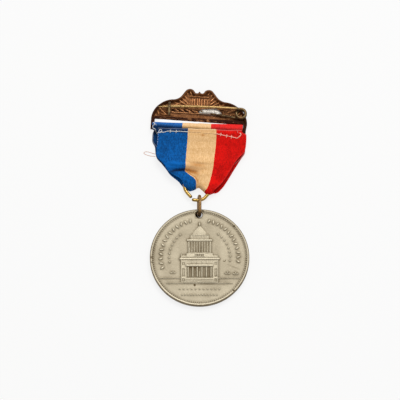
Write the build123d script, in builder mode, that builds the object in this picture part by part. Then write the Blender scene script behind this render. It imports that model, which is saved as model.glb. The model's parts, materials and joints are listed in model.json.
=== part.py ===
from build123d import *
from collections import namedtuple
import math
import os

# Commemorative medal lying on its front, in millimetres.
# X is across the ribbon, Y runs from the disc up to the brooch bar, Z is up.

# Brooch bar
bar_half_width = 18.65
bar_crest = 11.85
bar_depth = 2.2
bar_sheet = 0.6
bar_rim = 0.7
bar_turn = -3.5
bar_height_on_floor = 31.7
crest_shift = -0.6
arm_width = 1.45
arm_length = 3.85
slot_edge = -1.25
slot_lip = 0.6
relief_height = 0.6

# Rail of the ribbon slot
rail_diameter = 1.1
rail_below_edge = 2.25
rail_gap = 0.12

# Pin, catch and solder
pin_wire = 1.0
pin_above_rim = 0.15
pin_tip_wire = 0.3
pin_tip_length = 5.0
coil_radius = 1.8
coil_across = 16.1
coil_up = 2.75
pin_tip_across = -16.0
pin_tip_up = 3.55
pin_bow = 0.45
turn_gap = 0.35
turn_angle = 277.0
leg_end_across = 0.7
leg_end_up = 2.9
catch_across = -11.8
catch_width = 0.9
catch_wall = 0.7
catch_gap = 0.12
catch_finger = 0.6
catch_reach = 4.6
solder_height = 0.75

# Ribbon
cloth = 1.0
ribbon_inset = 0.5
ribbon_middle = 0.45
ribbon_drop = 25.1
flap_length = 4.1
flap_inset = 0.65
side_gap = 0.15
hem_below_rail = 1.7
fold_slope = -0.085
fold_share = 0.70
fold_across_share = -0.05
fold_up_share = -0.22
pleat_height = 0.6

# Suspension ring
ring_radius = 5.65
ring_wire = 1.2
ring_room = 1.7
ring_side = 1.6
ring_depth_share = 0.955
ring_from_angle = 260.0
ring_round_angle = 303.0
ring_left_radius = 3.4
ring_left_angle = 49.0
ring_right_radius = 3.1
ring_right_angle = 22.0

# Jump ring
link_length = 9.0
link_height = 5.1
link_wire = 1.15
link_lean = 8.0
link_gap = 0.3

# Medal disc
disc_diameter = 38.1
disc_thickness = 2.2
rim_width = 1.0
field_depth = 0.35
dentil_count = 138
dentil_length = 0.7
dentil_gap = 0.15
dentil_share = 0.55
hole_diameter = 2.7
hole_wall = 0.65
hole_slack_share = 0.3
web_gap = 0.1

# Derived heights and places
disc_radius = disc_diameter / 2
ribbon_half_width = bar_half_width - ribbon_inset
loop_level = cloth + rail_gap + rail_diameter / 2
flap_under = 2 * loop_level - cloth
flap_top = 2 * loop_level
ring_level = cloth + ring_room / 2
stem_level = bar_depth + pin_above_rim + pin_wire / 2
leg_level = stem_level - pin_wire - turn_gap
rail_place = slot_edge - rail_below_edge
slot_half = bar_half_width - arm_width
ring_inner = ring_radius - ring_wire / 2

bar_plane = Plane(
    origin=(0, bar_height_on_floor, 0),
    x_dir=Vector(1, 0, 0).rotate(Axis.Z, bar_turn),
    z_dir=(0, 0, 1),
)

# Ring centre in the bar's plane and on the floor
ring_across = ring_side
ring_up = rail_place - ribbon_drop * ring_depth_share
ring_centre = bar_plane.from_local_coords(Vector(ring_across, ring_up, ring_level))

# The fold line of the ribbon inside the ring
fold_middle = (
    ring_across + fold_across_share * ring_inner,
    ring_up + fold_up_share * ring_inner,
)
fold_half = fold_share * ring_inner
fold_left = (fold_middle[0] - fold_half, fold_middle[1] - fold_half * fold_slope)
fold_right = (fold_middle[0] + fold_half, fold_middle[1] + fold_half * fold_slope)

# Jump ring and disc hang in a chain from the ring's lower arc
ring_low = ring_centre.Y - ring_radius
link_top = ring_low + ring_wire / 2 + link_gap + link_wire
link_middle = link_top - link_length / 2
link_bottom_wire = link_top - link_length + link_wire / 2
link_bend = (link_height - link_wire) / 2
link_level = link_wire / 2 + link_bend * math.cos(math.radians(link_lean))
hole_radius = hole_diameter / 2
hole_ring = disc_radius - hole_wall - hole_radius
hole_place = link_bottom_wire + hole_slack_share * (hole_radius - link_wire / 2)
web_reach = disc_radius + hole_ring + hole_radius
disc_tilt = math.degrees(math.asin((link_wire + web_gap) / web_reach))
tilt_cos = math.cos(math.radians(disc_tilt))
tilt_sin = math.sin(math.radians(disc_tilt))
disc_middle = hole_place - hole_ring * tilt_cos + disc_thickness * tilt_sin
disc_plane = Plane(
    origin=(0, disc_middle, disc_radius * tilt_sin),
    x_dir=(1, 0, 0),
    z_dir=(0, -tilt_sin, tilt_cos),
)
field_level = disc_thickness - field_depth


# Half outline of the bar from the arm's foot to the spike. Each row ends a line or an arc.
# across and up are shares of the half width and the crest, via is the arc's middle point.
OutlineRow = namedtuple("OutlineRow", "across up via_across via_up")
bar_outline = [
    OutlineRow(1.000, -0.430, None, None),
    OutlineRow(1.000, -0.068, None, None),
    OutlineRow(0.816, 0.464, 0.949, 0.225),
    OutlineRow(0.560, 0.635, 0.705, 0.575),
    OutlineRow(0.380, 0.754, 0.455, 0.673),
    OutlineRow(0.290, 0.923, None, None),
    OutlineRow(0.105, 0.928, 0.190, 1.000),
    OutlineRow(0.030, 0.872, 0.068, 0.866),
    OutlineRow(0.000, 0.928, None, None),
]


def bar_point(across, up, side):
    """A point of the bar's outline; the crest leans a little to one side."""
    lean = crest_shift * max(0.0, up) ** 1.5
    return (side * across * bar_half_width + lean, up * bar_crest)


def bar_face():
    """The bar's outline as a face, arms included, before the slot is cut."""
    with BuildSketch() as face:
        with BuildLine():
            for side in (-1, 1):
                for before, row in zip(bar_outline, bar_outline[1:]):
                    start = bar_point(before.across, before.up, side)
                    end = bar_point(row.across, row.up, side)
                    if row.via_across is None:
                        Line(start, end)
                    else:
                        middle = bar_point(row.via_across, row.via_up, side)
                        ThreePointArc(start, middle, end)
            foot = bar_outline[0]
            Line(bar_point(foot.across, foot.up, -1), bar_point(foot.across, foot.up, 1))
        make_face()
    return face.sketch


def leaf(length, width):
    """A pointed leaf standing on its tip, from two arcs."""
    with BuildSketch() as face:
        with BuildLine():
            ThreePointArc((0, 0), (width / 2, length / 2), (0, length))
            ThreePointArc((0, length), (-width / 2, length / 2), (0, 0))
        make_face()
    return face.sketch


def half_ring(outer, inner):
    """Half of a flat ring, on the side of +X."""
    with BuildSketch() as face:
        Circle(outer)
        Circle(inner, mode=Mode.SUBTRACT)
        with Locations((-outer, 0)):
            Rectangle(2 * outer, 2 * outer, mode=Mode.SUBTRACT)
    return face.sketch


# Relief on the hollow back of the bar, as shares of the half width and the crest
ray_first_angle = 18.0
ray_step_angle = 9.5
ray_width = 0.5
ray_across = -0.36
ray_up = 2.6
ray_from = 5.6
ray_length = 3.2
ray_shares = [0.69, 0.90, 1.00, 0.93, 0.75, 0.60]
shield_across = -0.45
shield_up = 7.6
shield_half = 3.6
shield_height = 4.2
stripe_count = 5
stripe_width = 0.5
panel_across = -1.0
panel_up = 2.65
panel_half = 9.6
panel_height = 2.5
panel_border = 0.4
LobeRow = namedtuple("LobeRow", "across up length width turn")
lobes = [
    LobeRow(0.84, 0.04, 0.227, 0.105, 20),
    LobeRow(0.78, 0.20, 0.262, 0.114, 48),
    LobeRow(0.68, 0.36, 0.245, 0.105, 68),
    LobeRow(0.66, 0.07, 0.297, 0.105, 85),
    LobeRow(0.55, 0.46, 0.192, 0.087, 95),
]
SolderRow = namedtuple("SolderRow", "across up")
solder_outline = [
    SolderRow(-0.016, 0.175),
    SolderRow(0.465, 0.131),
    SolderRow(0.470, 0.245),
    SolderRow(0.357, 0.393),
    SolderRow(0.022, 0.349),
    SolderRow(-0.016, 0.271),
]


def bar_relief():
    """Rays, shield, long panel and side lobes standing in the bar's hollow."""
    with BuildSketch() as face:
        for side in (-1, 1):
            for index, share in enumerate(ray_shares):
                angle = math.radians(90 - side * (ray_first_angle + index * ray_step_angle))
                length = share * ray_length
                reach = ray_from + length / 2
                middle = (
                    ray_across + reach * math.cos(angle),
                    ray_up + reach * math.sin(angle),
                )
                with Locations(Location(middle, math.degrees(angle))):
                    SlotOverall(length, ray_width)
            for row in lobes:
                place = (side * row.across * bar_half_width, row.up * bar_crest)
                with Locations(Location(place, side * row.turn)):
                    Ellipse(row.width * bar_crest / 2, row.length * bar_crest / 2)
        with Locations((shield_across, shield_up)):
            Rectangle(2 * shield_half, shield_height)
            pitch = 2 * shield_half / stripe_count
            Rectangle(
                2 * shield_half - 2 * stripe_width,
                shield_height - 2 * stripe_width,
                mode=Mode.SUBTRACT,
            )
            with GridLocations(pitch, 1, stripe_count - 1, 1):
                Rectangle(stripe_width, shield_height)
        with Locations((panel_across, panel_up)):
            SlotOverall(2 * panel_half, panel_height)
            SlotOverall(
                2 * panel_half - 2 * panel_border,
                panel_height - 2 * panel_border,
                mode=Mode.SUBTRACT,
            )
    return face.sketch


# The pin's stem leaves the top of the coil and bows gently up to its tip
coil_place = (coil_across, coil_up)
coil_top = (coil_across, coil_up + coil_radius)
leg_end = (leg_end_across, leg_end_up)
stem_middle = (
    (coil_top[0] + pin_tip_across) / 2,
    (coil_top[1] + pin_tip_up) / 2 + pin_bow,
)


def spot_on_coil(angle):
    """A place on the middle of the coil's wire."""
    turn = math.radians(angle)
    return (
        coil_across + coil_radius * math.cos(turn),
        coil_up + coil_radius * math.sin(turn),
    )


def stem_centre(across):
    """Height in the bar's plane of the stem's centre line at a place across it."""
    half = (coil_top[0] - pin_tip_across) / 2
    part = (across - stem_middle[0]) / half
    chord = (coil_top[1] - pin_tip_up) / 2 * part + stem_middle[1] - pin_bow
    return chord + pin_bow * (1 - part**2)


# Brooch bar with its rail, catch, fixed leg and solder as one solid
with BuildPart() as brooch_bar:
    with BuildSketch(bar_plane):
        add(bar_face())
    extrude(amount=bar_depth)
    with BuildSketch(bar_plane.offset(bar_sheet)):
        add(bar_face())
        offset(amount=-bar_rim, kind=Kind.INTERSECTION)
        with Locations((0, slot_edge + slot_lip - 2 * bar_crest)):
            Rectangle(4 * bar_half_width, 4 * bar_crest, mode=Mode.SUBTRACT)
    extrude(amount=bar_depth, mode=Mode.SUBTRACT)
    with BuildSketch(bar_plane):
        with Locations((0, slot_edge - 2 * arm_length)):
            Rectangle(2 * slot_half, 4 * arm_length)
    extrude(amount=bar_depth, mode=Mode.SUBTRACT)
    with BuildSketch(bar_plane.offset(bar_sheet)):
        add(bar_relief())
        with BuildSketch(mode=Mode.INTERSECT):
            add(bar_face())
            offset(amount=-bar_rim, kind=Kind.INTERSECTION)
    extrude(amount=relief_height)
    # Rail between the arms
    rail_start = bar_plane.from_local_coords(Vector(-slot_half, rail_place, loop_level))
    rail_side = Plane(rail_start, x_dir=(0, 0, 1), z_dir=bar_plane.x_dir)
    with BuildSketch(rail_side):
        Circle(rail_diameter / 2)
    extrude(amount=2 * slot_half)
    # Patch of solder, and the fixed leg in it with the lower turn of the coil
    with BuildSketch(bar_plane.offset(bar_sheet)):
        with BuildLine():
            Polyline(
                *[(row.across * bar_half_width, row.up * bar_crest) for row in solder_outline],
                close=True,
            )
        make_face()
    extrude(amount=solder_height)
    leg_run = Vector(*coil_place) - Vector(*leg_end)
    leg_angle = math.degrees(math.atan2(-leg_run.Y, -leg_run.X))
    leg_touch = leg_angle + math.degrees(math.acos(coil_radius / leg_run.length))
    with BuildLine(bar_plane.offset(leg_level)) as leg_path:
        CenterArc(coil_place, coil_radius, leg_touch, turn_angle)
        Line(leg_end, spot_on_coil(leg_touch))
    leg_start = bar_plane.from_local_coords(Vector(leg_end_across, leg_end_up, leg_level))
    with BuildSketch(Plane(leg_start, z_dir=leg_path.wire() % 0)):
        Circle(pin_wire / 2)
    sweep(path=leg_path.wire())
    # Catch: a post above the stem and a finger over it
    post_edge = stem_centre(catch_across) + pin_wire / 2 + catch_gap
    finger_level = stem_level + pin_wire / 2 + pin_above_rim
    with BuildSketch(bar_plane.offset(bar_sheet)):
        with Locations((catch_across, post_edge + catch_wall / 2)):
            Rectangle(catch_width, catch_wall)
    extrude(amount=finger_level + catch_finger - bar_sheet)
    with BuildSketch(bar_plane.offset(finger_level)):
        with Locations((catch_across, post_edge + catch_wall - catch_reach / 2)):
            Rectangle(catch_width, catch_reach)
    extrude(amount=catch_finger)


# Sprung stem with the upper turn of the coil
neck_across = pin_tip_across + pin_tip_length
neck = (neck_across, stem_centre(neck_across))
half_way = (neck_across + coil_top[0]) / 2

with BuildPart() as pin_stem:
    with BuildLine(bar_plane.offset(stem_level)) as stem_path:
        ThreePointArc(neck, (half_way, stem_centre(half_way)), coil_top)
        CenterArc(coil_place, coil_radius, 90, -turn_angle)
    stem_wire = stem_path.wire()
    neck_plane = Plane(stem_wire @ 0, z_dir=stem_wire % 0)
    with BuildSketch(neck_plane):
        Circle(pin_wire / 2)
    sweep(path=stem_wire)
    with BuildSketch(neck_plane):
        Circle(pin_wire / 2)
    with BuildSketch(neck_plane.offset(-pin_tip_length)):
        Circle(pin_tip_wire / 2)
    loft()


# Edges of the ribbon below its hem. down is a share of the drop, the rest of the half width.
EdgeRow = namedtuple("EdgeRow", "down front_left back_left back_right front_right")
ribbon_edges = [
    EdgeRow(0.065, -1.000, -0.900, 1.000, 1.000),
    EdgeRow(0.285, -0.990, -0.890, 1.005, 1.005),
    EdgeRow(0.300, -0.935, -0.885, 1.000, 1.005),
    EdgeRow(0.385, -0.905, -0.880, 0.965, 0.975),
    EdgeRow(0.510, -0.885, -0.870, 0.820, 0.875),
    EdgeRow(0.580, -0.810, -0.805, 0.775, 0.830),
    EdgeRow(0.660, -0.715, -0.710, 0.720, 0.770),
    EdgeRow(0.780, -0.580, -0.575, 0.635, 0.690),
    EdgeRow(0.900, -0.425, -0.420, 0.530, 0.600),
    EdgeRow(0.985, -0.290, -0.285, 0.390, 0.500),
]


# Toe of the front wall from the fold's right end, and the pleat rolled over the back wall
# from the fold's left end. across is a share of the half width, up of the drop.
SpotRow = namedtuple("SpotRow", "across up")
front_toe = [
    SpotRow(0.055, -0.056),
    SpotRow(0.132, -0.052),
]
pleat_outline = [
    SpotRow(-0.419, 0.263),
    SpotRow(-0.198, 0.303),
    SpotRow(-0.083, 0.271),
    SpotRow(-0.050, 0.195),
    SpotRow(0.061, 0.155),
    SpotRow(0.127, 0.088),
    SpotRow(0.154, 0.016),
    SpotRow(0.006, 0.000),
    SpotRow(-0.143, 0.008),
]


def ribbon_outline(wall, tip):
    """Outline of the front or back wall of the ribbon, down to its fold in the ring."""
    sides = []
    for side in ("left", "right"):
        shares = [(row.down, getattr(row, f"{wall}_{side}")) for row in ribbon_edges]
        sides.append(
            [
                (ribbon_middle + share * ribbon_half_width, rail_place - down * ribbon_drop)
                for down, share in shares
            ]
        )
    toe = [
        (
            fold_right[0] + row.across * ribbon_half_width,
            fold_right[1] + row.up * ribbon_drop,
        )
        for row in tip
    ]
    points = sides[0] + [fold_left, fold_right] + toe + sides[1][::-1]
    with BuildSketch() as face:
        with BuildLine():
            Polyline(*points, close=True)
        make_face()
    return face.sketch


# Side view of the back wall, from the hem over the flap and down to the ring.
# down is a share of the drop below the rail, level the wall's underside in cloth walls.
RouteRow = namedtuple("RouteRow", "down level")
past_fold = 1.2
back_level = cloth + ring_room
back_route = [
    RouteRow(0.065, flap_top),
    RouteRow(0.180, flap_top),
    RouteRow(0.300, 0.85 * back_level),
    RouteRow(0.450, 0.75 * back_level),
    RouteRow(0.570, 1.04 * back_level),
    RouteRow(0.650, 0.93 * back_level),
    RouteRow(0.715, back_level),
    RouteRow(0.800, back_level),
]


def back_section():
    """Section of the back wall in the plane of the drop and the height."""
    under = [(rail_place - row.down * ribbon_drop, row.level) for row in back_route]
    over = [(x, y + cloth) for x, y in under]
    low_end = rail_place - past_fold * ribbon_drop
    with BuildSketch() as face:
        with BuildLine():
            Spline(*under, tangents=((-1, 0), (-1, 0)))
            Line(under[-1], (low_end, under[-1][1]))
            Line((low_end, under[-1][1]), (low_end, over[-1][1]))
            Line((low_end, over[-1][1]), over[-1])
            Spline(*over, tangents=((-1, 0), (-1, 0)))
            Line(over[0], under[0])
        make_face()
    return face.sketch



side_plane = Plane(
    origin=bar_plane.origin,
    x_dir=bar_plane.y_dir,
    z_dir=bar_plane.x_dir,
)

with BuildPart() as ribbon:
    # Back wall with its bulge and dent above the ring
    with BuildSketch(side_plane):
        add(back_section())
    extrude(amount=2 * ribbon_half_width, both=True)
    with BuildSketch(bar_plane):
        add(ribbon_outline("back", []))
    extrude(amount=flap_top + 2 * cloth, mode=Mode.INTERSECT)
    # Front wall, flat on the floor, between the arms at its top
    with BuildSketch(bar_plane):
        add(ribbon_outline("front", front_toe))
        with Locations((0, rail_place - hem_below_rail / 2)):
            Rectangle(2 * (slot_half - side_gap), hem_below_rail)
    extrude(amount=cloth)
    # Flap that comes back over the rail
    flap_left = bar_half_width - flap_inset
    flap_right = slot_half - side_gap
    with BuildSketch(bar_plane.offset(flap_under)):
        with Locations(((flap_right - flap_left) / 2, rail_place - flap_length / 2)):
            Rectangle(flap_right + flap_left, flap_length)
    extrude(amount=cloth)
    # Turn over the rail
    loop_start = bar_plane.from_local_coords(Vector(-flap_right, rail_place, loop_level))
    with BuildSketch(Plane(loop_start, x_dir=bar_plane.y_dir, z_dir=bar_plane.x_dir)):
        add(half_ring(loop_level, loop_level - cloth))
    extrude(amount=2 * flap_right)
    # Fold inside the ring
    fold_start = bar_plane.from_local_coords(Vector(*fold_left, ring_level))
    fold_end = bar_plane.from_local_coords(Vector(*fold_right, ring_level))
    fold_run = fold_end - fold_start
    fold_down = fold_run.cross(Vector(0, 0, 1))
    with BuildSketch(Plane(fold_start, x_dir=fold_down, z_dir=fold_run)):
        add(half_ring(ring_level, ring_level - cloth))
    extrude(amount=fold_run.length)
    # Pleat rolled over the lower left of the back wall
    with BuildSketch(bar_plane.offset(back_level + cloth / 2)):
        with BuildLine():
            Polyline(
                *[
                    (
                        fold_left[0] + row.across * ribbon_half_width,
                        fold_left[1] + row.up * ribbon_drop,
                    )
                    for row in pleat_outline
                ],
                close=True,
            )
        make_face()
    extrude(amount=cloth / 2 + pleat_height)


# Open suspension ring, its left end bent in and its right end bent out
with BuildPart() as suspension_ring:
    with BuildLine(Plane(origin=ring_centre)) as ring_path:
        round_part = CenterArc((0, 0), ring_radius, ring_from_angle, ring_round_angle)
        JernArc(round_part @ 1, round_part % 1, ring_left_radius, ring_left_angle)
        JernArc(round_part @ 0, -(round_part % 0), ring_right_radius, ring_right_angle)
    ring_wire_path = ring_path.wire()
    with BuildSketch(Plane(ring_wire_path @ 0, z_dir=ring_wire_path % 0)):
        Circle(ring_wire / 2)
    sweep(path=ring_wire_path)


# Jump ring standing on edge, through the ring and the disc's hole
with BuildPart() as jump_ring:
    link_plane = Plane(
        origin=(ring_centre.X, link_middle, link_level),
        x_dir=(0, 1, 0),
        z_dir=Vector(1, 0, 0).rotate(Axis.Y, link_lean),
    )
    with BuildLine(link_plane) as link_path:
        half_straight = link_length / 2 - link_wire / 2 - link_bend
        upper = Line((-half_straight, link_bend), (half_straight, link_bend))
        far_end = ThreePointArc(
            upper @ 1, (half_straight + link_bend, 0), (half_straight, -link_bend)
        )
        lower = Line(far_end @ 1, (-half_straight, -link_bend))
        ThreePointArc(lower @ 1, (-half_straight - link_bend, 0), upper @ 0)
    with BuildSketch(Plane(upper @ 0, z_dir=upper % 0)):
        Circle(link_wire / 2)
    sweep(path=link_path.wire())


# Domed building on the disc. low and high are places up the disc's face and half is
# the half width, all shares of the disc's radius; raised is a share of the field's depth.
TierRow = namedtuple("TierRow", "low high half raised")
building_tiers = [
    TierRow(-0.552, -0.062, 0.382, 0.45),
    TierRow(-0.056, -0.024, 0.412, 0.70),
    TierRow(-0.018, 0.072, 0.300, 0.40),
    TierRow(0.100, 0.310, 0.234, 0.50),
    TierRow(0.320, 0.366, 0.260, 0.80),
    TierRow(0.372, 0.402, 0.215, 0.50),
    TierRow(0.410, 0.466, 0.195, 0.65),
    TierRow(-0.196, -0.152, 0.290, 0.90),
    TierRow(-0.470, -0.430, 0.310, 0.70),
    TierRow(-0.520, -0.475, 0.340, 0.90),
]
building_middle = 0.012
dome_base = 0.475
DomeRow = namedtuple("DomeRow", "half high raised")
dome_steps = [
    DomeRow(0.162, 0.140, 0.40),
    DomeRow(0.112, 0.160, 0.55),
    DomeRow(0.062, 0.175, 0.70),
]
ColumnRow = namedtuple("ColumnRow", "low high count pitch width raised")
column_rows = [
    ColumnRow(-0.430, -0.196, 6, 0.093, 0.036, 0.8),
    ColumnRow(0.100, 0.310, 9, 0.052, 0.026, 0.8),
]
ground_lines = [(-0.432, 0.800), (-0.565, 0.640)]
line_width = 0.018

# Ornaments, by shares of the disc's radius, first and last angle, and count
BandRow = namedtuple("BandRow", "radius first last count length")
leaf_bands = [
    BandRow(0.780, 104, 196, 14, 0.105),
    BandRow(0.780, 76, -6, 13, 0.105),
]
lozenge_bands = [
    BandRow(0.612, 130, 189, 8, 0.038),
    BandRow(0.612, 52, -6, 8, 0.038),
]
BeadRow = namedtuple("BeadRow", "up half count bead")
bead_rows = [
    BeadRow(-0.655, 0.400, 11, 0.020),
    BeadRow(-0.775, 0.350, 13, 0.020),
]
fleurons = [(-0.535, -0.330), (0.560, -0.345), (0.725, -0.355)]
fleuron_length = 0.070
fleuron_turns = (-70, 0, 70)
leaf_width = 0.4
leaf_lean = 18
ornament_raised = 0.5
dentil_raised = 0.6


def spot_on(radius, angle):
    """A place on the disc's face."""
    turn = math.radians(angle)
    return (radius * math.cos(turn), radius * math.sin(turn))


def ornaments():
    """Leaves, beads and lozenges where a legend would stand."""
    shapes = []
    for band in leaf_bands:
        tall = band.length * disc_radius
        for index in range(band.count):
            angle = band.first + (band.last - band.first) * index / (band.count - 1)
            lean = leaf_lean if index % 2 else -leaf_lean
            place = Location(spot_on(band.radius * disc_radius, angle), angle - 90 + lean)
            shapes.append(place * leaf(tall, leaf_width * tall))
    for band in lozenge_bands:
        for index in range(band.count):
            angle = band.first + (band.last - band.first) * index / (band.count - 1)
            place = Location(spot_on(band.radius * disc_radius, angle), angle + 45)
            shapes.append(place * Rectangle(band.length * disc_radius, band.length * disc_radius))
    for row in bead_rows:
        for index in range(row.count):
            across = row.half * (2 * index / (row.count - 1) - 1)
            place = Pos(across * disc_radius, row.up * disc_radius)
            shapes.append(place * Circle(row.bead * disc_radius))
    petal = fleuron_length * disc_radius
    for across, up in fleurons:
        for turn in fleuron_turns:
            place = Location((across * disc_radius, up * disc_radius), turn)
            shapes.append(place * leaf(petal, leaf_width * petal))
    return shapes


with BuildPart() as medal_disc:
    with BuildSketch(disc_plane):
        Circle(disc_radius)
    extrude(amount=disc_thickness)
    for level in (0, field_level):
        with BuildSketch(disc_plane.offset(level)):
            Circle(disc_radius - rim_width)
        extrude(amount=field_depth, mode=Mode.SUBTRACT)
    # Hole for the jump ring
    with BuildSketch(disc_plane):
        with Locations((ring_centre.X, hole_ring)):
            Circle(hole_radius)
    extrude(amount=disc_thickness, mode=Mode.SUBTRACT)
    # Building, tier by tier, with its dome and columns
    for tier in building_tiers:
        with BuildSketch(disc_plane.offset(field_level)):
            middle_up = (tier.low + tier.high) / 2 * disc_radius
            with Locations((building_middle * disc_radius, middle_up)):
                Rectangle(2 * tier.half * disc_radius, (tier.high - tier.low) * disc_radius)
        extrude(amount=tier.raised * field_depth)
    for step in dome_steps:
        with BuildSketch(disc_plane.offset(field_level)):
            with Locations((building_middle * disc_radius, dome_base * disc_radius)):
                Ellipse(step.half * disc_radius, step.high * disc_radius)
                Rectangle(
                    disc_radius,
                    disc_radius,
                    align=(Align.CENTER, Align.MAX),
                    mode=Mode.SUBTRACT,
                )
        extrude(amount=step.raised * field_depth)
    for row in column_rows:
        with BuildSketch(disc_plane.offset(field_level)):
            middle_up = (row.low + row.high) / 2 * disc_radius
            with Locations((building_middle * disc_radius, middle_up)):
                with GridLocations(row.pitch * disc_radius, 1, row.count, 1):
                    Rectangle(row.width * disc_radius, (row.high - row.low) * disc_radius)
        extrude(amount=row.raised * field_depth)
    # Ground line and the line over the lower rows
    with BuildSketch(disc_plane.offset(field_level)):
        for up, half in ground_lines:
            with Locations((0, up * disc_radius)):
                Rectangle(2 * half * disc_radius, line_width * disc_radius)
    extrude(amount=ornament_raised * field_depth)
    with BuildSketch(disc_plane.offset(field_level)):
        add(ornaments())
    extrude(amount=ornament_raised * field_depth)
    # Row of dentils inside the rim, clear of the hole
    dentil_ring = disc_radius - rim_width - dentil_gap - dentil_length / 2
    dentil_width = dentil_share * 2 * math.pi * dentil_ring / dentil_count
    with BuildSketch(disc_plane.offset(field_level)):
        with PolarLocations(dentil_ring, dentil_count):
            Rectangle(dentil_length, dentil_width)
        with Locations((ring_centre.X, hole_ring)):
            Circle(hole_radius + dentil_gap, mode=Mode.SUBTRACT)
    extrude(amount=dentil_raised * field_depth)


# The origin stands under the middle of the whole medal, on the floor
pieces = {
    "brooch_bar": brooch_bar,
    "pin_stem": pin_stem,
    "ribbon": ribbon,
    "suspension_ring": suspension_ring,
    "jump_ring": jump_ring,
    "medal_disc": medal_disc,
}
whole = Compound(children=[piece.part.solids()[0] for piece in pieces.values()])
box = whole.bounding_box()
to_origin = Pos(-box.center().X, -box.center().Y, -box.min.Z)

os.makedirs("parts", exist_ok=True)
for name, piece in pieces.items():
    placed = to_origin * piece.part
    placed.label = name
    export_step(placed, f"parts/{name}.step")

coil_axis = bar_plane.from_local_coords(Vector(coil_place[0], coil_place[1], stem_level))
for title, place in (
    ("coil axis", coil_axis),
    ("ring centre", ring_centre),
    ("bar origin", bar_plane.origin),
    ("disc centre", disc_plane.origin),
):
    moved = (to_origin * Pos(place)).position
    print(title, round(moved.X, 3), round(moved.Y, 3), round(moved.Z, 3))
print("box", box.size, "disc tilt", round(disc_tilt, 3))
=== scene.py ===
"""Looks of a commemorative medal: struck disc, folded tricolour ribbon and stamped bar."""

import json
import math
from collections import namedtuple
from types import SimpleNamespace

import bpy
import numpy as np
from bpy.props import FloatProperty, FloatVectorProperty, IntProperty, PointerProperty
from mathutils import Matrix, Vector
from mathutils.bvhtree import BVHTree
from mathutils.geometry import delaunay_2d_cdt
from numpy.linalg import norm


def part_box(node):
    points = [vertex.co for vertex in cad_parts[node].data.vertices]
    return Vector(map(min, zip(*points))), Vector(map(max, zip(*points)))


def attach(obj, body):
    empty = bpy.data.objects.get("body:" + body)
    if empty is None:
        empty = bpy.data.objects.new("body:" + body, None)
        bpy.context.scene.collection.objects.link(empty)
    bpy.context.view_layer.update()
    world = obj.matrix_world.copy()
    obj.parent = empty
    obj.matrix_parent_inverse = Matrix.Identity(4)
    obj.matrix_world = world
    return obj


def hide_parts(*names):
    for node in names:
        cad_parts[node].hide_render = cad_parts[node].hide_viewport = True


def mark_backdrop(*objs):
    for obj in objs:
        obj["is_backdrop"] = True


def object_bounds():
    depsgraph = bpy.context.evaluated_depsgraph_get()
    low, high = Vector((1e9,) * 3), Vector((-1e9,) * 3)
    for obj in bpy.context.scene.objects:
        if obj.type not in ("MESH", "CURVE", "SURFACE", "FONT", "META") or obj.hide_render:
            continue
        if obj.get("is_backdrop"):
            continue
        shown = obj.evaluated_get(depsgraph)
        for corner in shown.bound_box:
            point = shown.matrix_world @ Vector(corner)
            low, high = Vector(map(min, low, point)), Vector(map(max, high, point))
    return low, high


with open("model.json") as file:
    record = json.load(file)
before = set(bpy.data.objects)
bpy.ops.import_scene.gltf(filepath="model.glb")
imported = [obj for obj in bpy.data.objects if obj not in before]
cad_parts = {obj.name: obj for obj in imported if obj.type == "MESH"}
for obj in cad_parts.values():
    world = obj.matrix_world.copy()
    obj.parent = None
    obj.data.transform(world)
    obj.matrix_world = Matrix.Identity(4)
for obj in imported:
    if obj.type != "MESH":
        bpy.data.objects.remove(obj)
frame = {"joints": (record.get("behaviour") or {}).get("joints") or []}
cad_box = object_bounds()

bl_info = {
    "name": "Commemorative medal",
    "version": (1, 0, 0),
    "blender": (4, 5, 0),
    "location": "3D View > Sidebar > Medal",
    "description": "Struck disc on a folded ribbon with a stamped brooch bar, seen from behind",
    "category": "Object",
}

MM = 0.001


# Settings of the panel
def length(name, description, default):
    """A length property; the default is in millimetres."""
    return FloatProperty(
        name=name, description=description, default=default * MM, unit="LENGTH", precision=5
    )


def share(name, description, default):
    """A property from 0 to 1."""
    return FloatProperty(
        name=name, description=description, default=default, min=0.0, max=1.0, subtype="FACTOR"
    )


def angle(name, description, default):
    """An angle property; the default is in degrees."""
    return FloatProperty(
        name=name, description=description, default=math.radians(default), subtype="ANGLE"
    )


def dye(red, green, blue):
    """Scene colour of a display colour given from 0 to 255."""
    parts = (value / 255 for value in (red, green, blue))
    return tuple(((part + 0.055) / 1.055) ** 2.4 if part > 0.04 else part / 12.92 for part in parts)


def colour(name, description, red, green, blue):
    """A colour property; the default is a display colour from 0 to 255."""
    return FloatVectorProperty(
        name=name,
        description=description,
        default=dye(red, green, blue),
        min=0.0,
        max=1.0,
        subtype="COLOR",
    )


class BarSettings(bpy.types.PropertyGroup):
    """Sizes and colours of the stamped brooch bar."""

    half_width: length("Half width", "From the bar's middle to its side", 18.65)
    crest: length("Crest", "From the bar's origin to the top of its humps", 11.85)
    crest_shift: length("Crest shift", "How far the crest leans to one side", -0.6)
    turn: angle("Turn", "Turn of the bar on the floor", -3.5)
    depth: length("Depth", "Height of the rim above the floor", 2.2)
    rim: length("Rim", "Width of the rim", 0.75)
    floor_level: length("Hollow", "Level of the hollow back", 0.8)
    relief: length("Relief", "Height of the relief in the hollow", 0.85)
    arm_width: length("Arm width", "Width of the arms beside the ribbon", 1.45)
    slot_edge: length("Slot edge", "Edge of the ribbon slot from the origin", -0.95)
    slot_lip: length("Slot lip", "Width of the lip along the slot", 1.0)
    rail_below: length("Rail", "Rail's middle below the slot's edge", 2.55)
    rail_width: length("Rail width", "Diameter of the rail", 1.1)
    grid: length("Mesh", "Spacing of the mesh over the back", 0.17)
    shadow: colour("Shadow", "Patina in the hollows", 50, 20, 8)
    patina: colour("Patina", "Brown of the bar", 132, 84, 44)
    copper: colour("Copper", "Worn high places", 255, 184, 124)


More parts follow.
